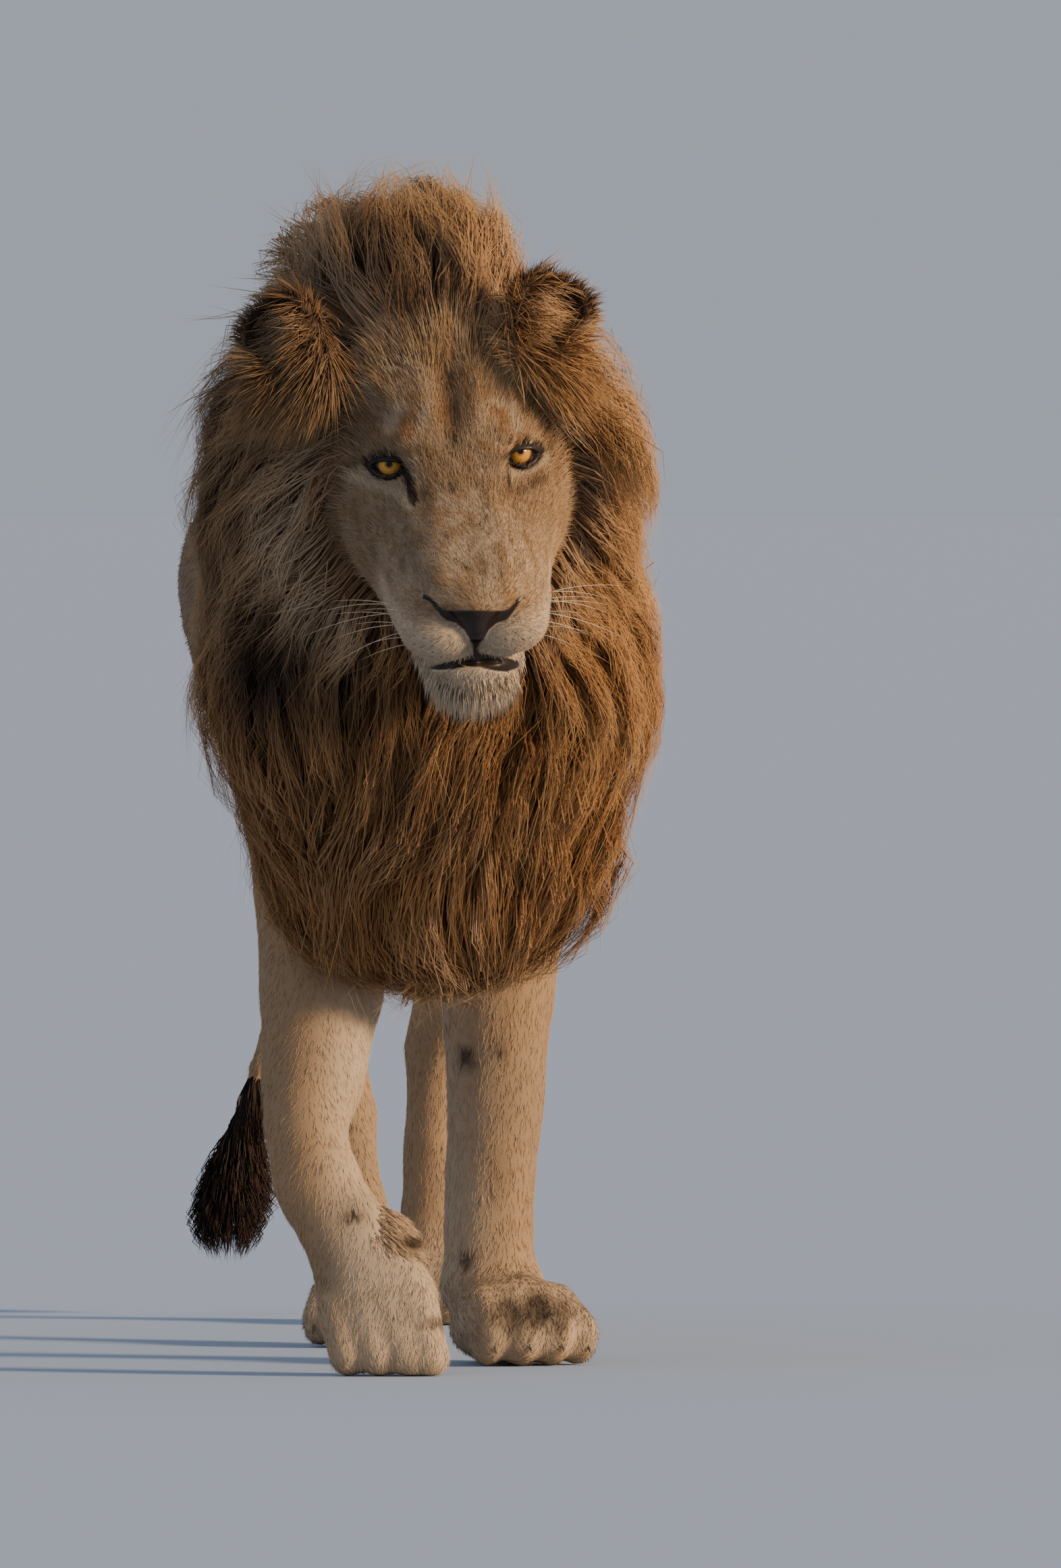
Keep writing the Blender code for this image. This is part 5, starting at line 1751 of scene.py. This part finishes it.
def mane_piece(name, count, weight, knots=4, gather=0.55, stray=0.011, shorter=1.0, reach=NEAR):
    """Hairs that follow the locks; reach is how far off the skin is looked for."""
    count = int(count * LESS)
    points, normals = scatter(count, weight)
    paths, pick = follow(points, normals, knots, gather, stray, shorter)
    flat = paths.reshape(-1, 3)
    marks = {mask: value.reshape(count, knots) for mask, value in markings(flat).items()}
    marks["wet"] = marks["wet"] * 0
    tone = np.clip(lock_tone[pick] + 0.14 * RANDOM.normal(size=count), 0, 1)
    outward = unit(-gradient(mane_depth, flat, 0.006)).reshape(count, knots, 3)
    outward = unit(outward + normals[:, None, :] * 0.3)
    widths = MANE_WIDTH * RANDOM.uniform(0.6, 1.35, count)
    spikes(name, paths, widths, marks, tone, mane_hair, "mane", MANE_TAPER, outward, reach)


# Where each piece grows, its count and its reach.
MANE_AREAS = {
    "crest": ((pz > 1.00) & (py < 0.0), 6800, NEAR),
    "ruff_left": ((pz <= 1.00) & (pz > 0.74) & (px > 0.0) & (py < -0.13), 6800, NEAR),
    "ruff_right": ((pz <= 1.00) & (pz > 0.74) & (px <= 0.0) & (py < -0.13), 6800, NEAR),
    "chest": ((pz <= 0.74) & (py < -0.02), 10600, NEAR),
    "neck_left": ((pz <= 1.00) & (px > 0.0) & (py >= -0.13), 3000, DEEP),
    "neck_right": ((pz <= 1.00) & (px <= 0.0) & (py >= -0.13), 3000, DEEP),
    "withers": ((pz > 1.00) & (py >= 0.0), 1800, DEEP),
}
for area, (where, hairs, reach) in MANE_AREAS.items():
    mane_piece("mane_" + area, hairs, mane_weight * where, reach=reach)
crest_left = mane_weight * (pz > 1.02) * (py < -0.18) * (px < 0.05)
mane_piece("crest_wisps", 800, crest_left, 5, 0.85, 0.009, 1.50)

# %% Fringe between face and mane


def beside_mane(points, steps):
    """1 on the face beside the mane, and less by steps further into the face."""
    out = np.zeros(len(points))
    for back_by, strength in steps:
        behind = points + HEAD_TURN @ np.array([0.0, back_by, 0.0])
        out = np.maximum(out, (1 - face_share(behind)) * strength)
    return out


close = 1 - ramp(melt(skin_points, HEAD_MASSES), 0.010, 0.030)
fringe_weight = beside_mane(skin_points, ((0.012, 1.0), (0.028, 0.75), (0.046, 0.40)))
fringe_weight = fringe_weight * (skin_face > 0.05) * (to_head(skin_points)[:, 1] > -0.06) * furry * close
count = int(8000 * LESS)
points, normals = scatter(count, fringe_weight)
lie = lie_of_coat(points, normals)
rise = 0.30 + 0.45 * ramp(to_head(points)[:, 2], 0.04, 0.08)
way = unit(lie + normals * rise[:, None] + RANDOM.normal(0, 0.10, (count, 3)))
nearness = beside_mane(points, ((0.010, 1.0), (0.020, 0.7), (0.032, 0.4)))
length = (0.010 + 0.030 * nearness) * RANDOM.uniform(0.7, 1.3, count)
down = np.array([0.0, 0.15, -0.25])
paths = np.stack([points - normals * 0.0005, points + unit(way + down * 0.2) * length[:, None] * 0.55,
                  points + unit(way + down) * length[:, None]], 1)
tone = np.clip(0.75 + 0.25 * RANDOM.normal(size=count), 0, 1)
spikes("face_fringe", paths, hair_widths(0.0011, count), markings(points), tone, face_hair, "mane",
       upward=normals[:, None, :])

# %% Ears' hair
SIDES = ((1, "left"), (-1, "right"))
ear_hair = hair_material("ear hair", MANE_GOLD, 0.60, 0.20)
for s, side_name in SIDES:
    centre, ear_across, ear_up, ear_open = EAR_FRAMES[s]
    near = (np.linalg.norm(skin_points - centre, axis=1) < 0.070) & ear_zone(skin_points)
    count = int(3300 * LESS)
    points, normals = scatter(count, near.astype(float))
    rel = points - centre
    a, b, c = rel @ ear_across, rel @ ear_up, rel @ ear_open
    outside = np.array([float(s), 0.0, 0.0])
    in_cup = (np.hypot(a, b + 0.008) < 0.034) & (c > -0.018) & ((normals @ ear_open) > -0.15)
    toward_head = ramp(-(rel @ outside), -0.006, 0.010) * (s > 0)
    tufted = np.maximum(toward_head * 0.85, ramp(-b, -0.004, 0.016) * 0.85)
    long_tuft = in_cup & (RANDOM.uniform(size=count) < tufted)
    from_middle = unit(a[:, None] * ear_across + (b + 0.030)[:, None] * ear_up)
    way = from_middle * 0.90 + normals * 0.30 + ear_up * 0.45
    way[in_cup] = from_middle[in_cup] * 0.60 + normals[in_cup] * 0.45
    way[long_tuft] = ear_open * 0.42 + outside * 0.60 - np.array([0.0, 0.0, 0.28])
    way = unit(way + RANDOM.normal(0, 0.22, (count, 3)))
    base = (b < -0.022) & ~in_cup
    way[base] = unit(normals[base] * 0.28 + outside * 0.50 - np.array([0.0, 0.0, 0.50])
                     + RANDOM.normal(0, 0.13, (base.sum(), 3)))
    way = off_skin(way, normals)
    length = np.where(long_tuft, 0.038, np.where(in_cup, 0.008, np.where(base, 0.024, 0.015)))
    length = length * RANDOM.uniform(0.5, 1.4, count)
    paths = np.stack([points - normals * 0.001, points + way * length[:, None] * 0.5,
                      points + off_skin(unit(way + [s * 0.08, 0.05, -0.22]), normals) * length[:, None]], 1)
    marks = markings(points)
    upper = ramp(b, -0.012, 0.020)
    back_of_ear = ramp(-c, -0.004, 0.012)
    rim_dark = np.maximum(back_of_ear * 0.80, upper * (0.72 if s > 0 else 0.42))
    # Painted shade in the cup of each ear.
    marks["dark"] = np.where(long_tuft, 0.0, np.where(in_cup, 0.93, rim_dark))
    marks["dark"] = np.where(base, 0.10, marks["dark"])
    marks["pale"] = np.where(long_tuft, 0.42, np.where(base, 0.10, 0.0))
    marks["rust"] = np.where(long_tuft | base, 0.08, 0.25)
    # Painted shade: greyer and darker hair on the right ear, turned from the light.
    marks["grey"] = np.full(count, 0.25 if s > 0 else 0.85)
    tone = np.clip((0.70 if s > 0 else 0.35) + 0.22 * RANDOM.normal(size=count), 0, 1)
    spikes("ear_hair_" + side_name, paths, hair_widths(0.0011, count), marks, tone, ear_hair, "mane")

# %% Mane hair over the feet of the ears


def tones(middle, spread, count):
    """How light each hair is, from 0 to 1."""
    return np.clip(RANDOM.normal(middle, spread, count), 0, 1)


for s, side_name in SIDES:
    centre, ear_across, ear_up, ear_open = EAR_FRAMES[s]
    rel = skin_points - centre
    apart, height = np.linalg.norm(rel, axis=1), rel @ ear_up
    bare_edge = (apart < 0.070) * (s < 0)
    around = (1 - ramp(apart, 0.080, 0.105)) * np.maximum(off_face, bare_edge)
    inner_side = ramp(-rel[:, 0] * s, -0.004, 0.016)
    foot = 1 - ramp(height, -0.030, -0.012)
    foot = np.maximum(foot, ramp(apart, 0.060, 0.070) * 0.8)
    around *= np.maximum(foot, inner_side * (0.25 if s > 0 else 0.55))
    around *= ramp(apart, 0.022, 0.034)
    count = int(2100 * LESS)
    points, normals = scatter(count, around)
    flow = unit(mane_flow(points) * 0.55 + [s * (0.34 if s > 0 else 0.12), -0.10, -0.62])
    way = off_skin(unit(normals * 0.26 + flow * 0.80 + RANDOM.normal(0, 0.13, (count, 3))), normals)
    shorter = 1 - 0.35 * ramp((points - centre) @ ear_up, -0.03, 0.0)
    length = (RANDOM.uniform(0.030, 0.060, count) * shorter)[:, None]
    curl = off_skin(unit(flow + RANDOM.normal(0, 0.16, (count, 3))), normals, 0.05)
    paths = np.stack([points - normals * MANE_ROOT, points + way * length * 0.40,
                      points + way * length * 0.60 + curl * length * 0.30,
                      points + way * length * 0.68 + curl * length * 0.75], 1)
    marks = markings(points)
    marks["dark"] = marks["dark"] * 0.25
    # Painted shade: greyer and darker hair round the right ear, turned from the light.
    marks["grey"] = np.maximum(marks["grey"], 0.2 if s > 0 else 0.85)
    tone = tones(0.62 if s > 0 else 0.45, 0.25, count)
    spikes("ear_mane_" + side_name, hold_in(paths), hair_widths(MANE_WIDTH, count), marks, tone,
           mane_hair, "mane", MANE_TAPER)

# %% Lock over the parting in the left ruff
PARTING_ROOT, PARTING_FRONT = np.array([0.150, -0.345, 0.995]), np.array([0.180, -0.345, 0.945])
count = int(420 * LESS)
near_root = 1 - ramp(np.linalg.norm(skin_points - PARTING_ROOT, axis=1), 0.040, 0.075)
points, normals = scatter(count, near_root * (mane_weight > 0.1))
spread = RANDOM.normal(0, 0.011, (count, 3)) + (RANDOM.uniform(-1, 1, (count, 1)) * [0.014, 0.0, -0.024])
front = PARTING_FRONT + spread
end = front + np.array([0.012, 0.006, -0.052]) * RANDOM.uniform(0.6, 1.2, (count, 1))
end += RANDOM.normal(0, 0.005, (count, 3))
middle = points + (front - points) * 0.55 + np.array([0.0, -0.012, 0.010])
paths = hold_in(np.stack([points - normals * MANE_ROOT, middle, front, end], 1))
marks = {mask: np.repeat(value[:, None], 4, 1) for mask, value in markings(front).items()}
widths = hair_widths(MANE_WIDTH, count)
spikes("ruff_lock", paths, widths, marks, tones(0.55, 0.25, count), mane_hair, "mane", MANE_TAPER)

# %% Tail tuft
TUFT_LINE = np.array([(-0.206, 1.400, 0.262), (-0.222, 1.411, 0.205), (-0.234, 1.419, 0.135),
                      (-0.242, 1.424, 0.066)])
TUFT_CORE, TUFT_BULGE = 0.005, 0.040


def plain_marks(count, **given):
    """No marks at all but those given."""
    return {mask: given.get(mask, np.zeros(count)) for mask in MASKS}


count = int(3200 * LESS)
start = RANDOM.uniform(0, 0.78, count)
at = start * 3
low = np.clip(at.astype(int), 0, 2)
core = TUFT_LINE[low] + (TUFT_LINE[low + 1] - TUFT_LINE[low]) * (at - low)[:, None]
around = RANDOM.uniform(0, 2 * math.pi, count)
ring = np.stack([np.cos(around), np.sin(around), np.zeros(count)], 1)
paths = [core + ring * TUFT_CORE]
bulge = TUFT_BULGE * np.sqrt(RANDOM.uniform(0.05, 1.0, count)) * (0.30 + 1.00 * ramp(start, 0.05, 0.62))
for k in (1, 2, 3):
    t = k / 3
    out_by = bulge * math.sin(min(1.0, t * 1.15) * 1.8) * (1 - 0.25 * ramp(start, 0.6, 0.8))
    fall = (0.066 - 0.010 * start) * (1 - 0.12 * (bulge / TUFT_BULGE) ** 2) * t
    place = core + ring * (TUFT_CORE + out_by)[:, None] + np.array([-0.012, 0.004, -1.0]) * fall[:, None]
    place -= ring * (out_by * 0.42 * t ** 3)[:, None]
    paths.append(place + RANDOM.normal(0, 0.0030 * t, (count, 3)))
dark = tones(0.93, 0.06, count)
marks = plain_marks(count, dark=dark, rust=RANDOM.uniform(0, 0.9, count))
tuft_hair = hair_material("tuft hair", (0.16, 0.06, 0.03), 0.5)
widths = hair_widths(0.0017, count)
tone = tones(0.6, 0.25, count)
spikes("tail_tuft_hair", np.stack(paths, 1), widths, marks, tone, tuft_hair, "tuft", MANE_TAPER)

# %% Chin hair
local = to_head(skin_points)
on_head = melt(skin_points, HEAD_MASSES) < 0.012
chin_weight = ramp(-0.127 - local[:, 2], 0, 0.006) * ramp(-0.045 - local[:, 1], 0, 0.03) * on_head
count = int(3600 * LESS)
points, normals = scatter(count, chin_weight * furry)
lie = lie_of_coat(points, normals)
way = unit(lie * 0.6 + normals * 0.30 + np.array([0.0, 0.10, -0.75]) + RANDOM.normal(0, 0.14, (count, 3)))
length = (0.007 + 0.024 * ramp(-to_head(points)[:, 2], 0.13, 0.165)) * RANDOM.uniform(0.6, 1.35, count)
paths = np.stack([points - normals * 0.001, points + way * length[:, None] * 0.55,
                  points + unit(way + [0, 0.05, -0.30]) * length[:, None]], 1)
marks, widths = plain_marks(count, pale=np.ones(count)), hair_widths(0.0010, count)
spikes("chin_hair", paths, widths, marks, tones(0.98, 0.06, count), leg_hair, "face_coat")

# %% Wrist tuft of the bent forefoot
WRIST_TUFT = np.array([-0.040, -0.180, 0.150])
count = int(900 * LESS)
near_wrist = 1 - ramp(np.linalg.norm((skin_points - WRIST_TUFT) / [1.0, 2.2, 1.0], axis=1), 0.012, 0.034)
points, normals = scatter(count, near_wrist * body_weight * (px > -0.060))
way = unit(normals * 0.35 + [0.62, -0.10, -0.62] + RANDOM.normal(0, 0.10, (count, 3)))
way = off_skin(way, normals, 0.05)
length = (0.020 * RANDOM.uniform(0.6, 1.3, count))[:, None]
paths = np.stack([points - normals * 0.001, points + way * length * 0.55,
                  points + way * length * 0.9 - np.array([0, 0, 0.12]) * length], 1)
at_tips = markings(paths.reshape(-1, 3))["dark"].reshape(count, 3)
marks = {mask: np.repeat(value[:, None], 3, 1) for mask, value in markings(points).items()}
marks["pale"] = np.maximum(marks["pale"], 0.62)
marks["grey"] = marks["grey"] * 0.3
marks["dark"] = at_tips * (at_tips > 0.3)
widths = hair_widths(0.0011, count)
spikes("wrist_tuft", paths, widths, marks, tones(0.90, 0.12, count), leg_hair, "leg_coat")

# %% [markdown]
# ## Eyes
# The iris of a lion is amber with a small round pupil, so it takes no slit.
# Each eyeball is one ball that bulges a little over the iris, turned so that
# its top points where the lion looks, and coloured by distance from that top.

# %% Eyeballs
IRIS_REACH = 0.0138
CORNEA_WIDTH, CORNEA_HEIGHT = 0.0085, 0.0016
GAZE = {1: (0.20, -0.97, 0.13), -1: (-0.11, -0.97, -0.02)}
eye_finish, tree, surface = new_material("wet eye", {"Roughness": 0.16, "Specular IOR Level": 0.18,
                                                     "Coat Weight": 0.14, "Coat Roughness": 0.02})
place = add_node(tree, "ShaderNodeTexCoord", {}, {}, 3)
flat = add_node(tree, "ShaderNodeVectorMath", {"operation": "MULTIPLY"}, {0: place, 1: (1.0, 1.0, 0.0)})
off_centre = add_node(tree, "ShaderNodeVectorMath", {"operation": "LENGTH"}, {0: flat}, 1)
fibres = noise(tree, 700.0, 3.0, 0.6)
iris = add_node(tree, "ShaderNodeValToRGB", {"stops": [
    (0.0, (0.004, 0.003, 0.003)), (0.19, (0.004, 0.003, 0.003)), (0.24, (0.24, 0.11, 0.016)),
    (0.42, (0.62, 0.33, 0.055)), (0.74, (0.50, 0.24, 0.035)), (0.86, (0.12, 0.045, 0.010)),
    (0.93, (0.012, 0.008, 0.006)), (1.0, (0.012, 0.008, 0.006))]},
    {"Fac": off_centre * (1 / IRIS_REACH) + fibres * 0.05 - 0.025})
colour = mix_colour(tree, fibres * 0.6, iris, tinted(tree, iris, (0.62, 0.50, 0.40)))
feed(tree, surface, "Base Color", colour)
for s, side_name in SIDES:
    bm = bmesh.new()
    bmesh.ops.create_uvsphere(bm, u_segments=64, v_segments=48, radius=EYE_RADIUS)
    for v in bm.verts:
        if v.co.z > 0:
            flat_reach = math.hypot(v.co.x, v.co.y)
            v.co.z += CORNEA_HEIGHT * math.exp(-(flat_reach / CORNEA_WIDTH) ** 2)
    mesh = mesh_from(bm, "eyeball_" + side_name)
    mesh.polygons.foreach_set("use_smooth", np.ones(len(mesh.polygons), bool))
    mesh.materials.append(eye_finish)
    eyeball = place_object("eyeball_" + side_name, mesh)
    eyeball.location = Vector(EYES[s][0] + OFFSET)
    eyeball.rotation_euler = Vector(GAZE[s]).to_track_quat("Z", "Y").to_euler()
    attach(eyeball, "root")
    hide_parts("eye_" + side_name)
print("eyeballs", len(SIDES))

# %% [markdown]
# ## Whiskers and claws
# Whiskers grow in four rows from the pads, stiff and pale.  The claws are
# drawn in, and only their dark tips show between the toes.

# %% Whiskers
WHISKER_ROWS = (2, 3, 3, 2)
WHISKER_KNOTS, WHISKER_WIDTH = 9, 0.0009


def plain_material(name, roughness, colour):
    return new_material(name, {"Roughness": roughness, "Base Color": (*colour, 1.0)})[0]


def plain_spikes(name, paths, width, material, slot, taper=1.4):
    """Spikes of one width and tone, without marks, that are not lifted off the skin."""
    count = len(paths)
    spikes(name, paths, np.full(count, width), plain_marks(count), np.ones(count), material, slot, taper,
           reach=0)


roots, ways, lengths = [], [], []
for s in (1, -1):
    for row, in_row in enumerate(WHISKER_ROWS):
        for k in range(1, in_row + 1):
            roots.append(from_head((s * (0.050 + 0.007 * k), -0.158 + 0.017 * k, -0.080 - row * 0.0095)))
            ways.append(unit(np.array([s * (1.0 + RANDOM.normal(0, 0.10)), -0.08 + 0.20 * k,
                                       0.30 - row * 0.17 + RANDOM.normal(0, 0.07)])))
            lengths.append((0.036 + 0.018 * k) * RANDOM.uniform(0.7, 1.2))
roots, ways, lengths = np.array(roots), np.array(ways), np.array(lengths)
for turn in range(4):
    slope = unit(gradient(flesh, roots))
    roots -= slope * flesh(roots)[:, None]
s_line = np.linspace(0, 1, WHISKER_KNOTS)[None, :, None]
sag = np.array([0.0, 0.25, -0.42])
paths = roots[:, None] + (ways[:, None] * s_line + sag * s_line ** 2 * 0.45) * lengths[:, None, None]
whisker_finish = plain_material("whisker", 0.4, (0.62, 0.50, 0.36))
plain_spikes("whiskers", paths, WHISKER_WIDTH, whisker_finish, "whisker", 2.0)

# %% Claws
CLAW_WIDTH, CLAW_FLOOR = 0.0075, 0.004
# Steps from where a claw leaves the toe: ahead and up.
CLAW_STEPS = ((0.0, 0.0), (0.010, 0.001), (0.017, -0.004), (0.020, -0.010))
claw_paths = []
for root, tip, toe_across, toe, depth in TOES:
    ahead = unit(tip - root)
    start = tip + ahead * toe * 0.40 + np.array([0, 0, 0.006])
    claw_paths.append([start + ahead * out + np.array([0, 0, up]) for out, up in CLAW_STEPS])
claw_paths = np.array(claw_paths)
claw_paths[:, :, 2] = np.maximum(claw_paths[:, :, 2], CLAW_FLOOR)
claw_finish = plain_material("claw horn", 0.35, (0.10, 0.075, 0.055))
plain_spikes("claws", claw_paths, CLAW_WIDTH, claw_finish, "claw")

# %% [markdown]
# ## Floor and light
# A plain pale floor without walls, so that the lion can be seen from every
# side, one broad warm light from its left, and a cooler fill.

# %% Floor
FLOOR_HALF = 600.0
bm = bmesh.new()
bmesh.ops.create_grid(bm, x_segments=1, y_segments=1, size=FLOOR_HALF)
floor = place_object("floor", mesh_from(bm, "floor"))
floor.data.materials.append(plain_material("pale floor", 0.9, (0.330, 0.416, 0.564)))
print("floor", 2 * FLOOR_HALF, "m wide")

# %% Lights
SKY_COLOUR, SKY_STRENGTH = (0.80, 0.87, 1.0, 1.0), 0.46


def add_sun(name, toward, strength, colour, softness):
    """A wide soft light from far away, given by the direction that it comes from."""
    light = bpy.data.lights.new(name, "SUN")
    light.energy, light.color, light.angle = strength, colour, math.radians(softness)
    place_object(name, light).rotation_euler = Vector(toward).to_track_quat("Z", "Y").to_euler()


add_sun("warm key", (0.93, -0.34, 0.32), 6.4, (1.0, 0.75, 0.48), 10.0)
add_sun("cool fill", (-0.60, -0.70, 0.55), 0.35, (0.75, 0.86, 1.0), 60.0)
world = bpy.data.worlds.new("studio")
bpy.context.scene.world = world
world.use_nodes = True
background = world.node_tree.nodes["Background"]
background.inputs["Color"].default_value = SKY_COLOUR
background.inputs["Strength"].default_value = SKY_STRENGTH
print("lights", len(bpy.data.lights))

# %% Sizes
print("coat triangles", sum(len(piece.data.polygons) for piece in COAT_PIECES))
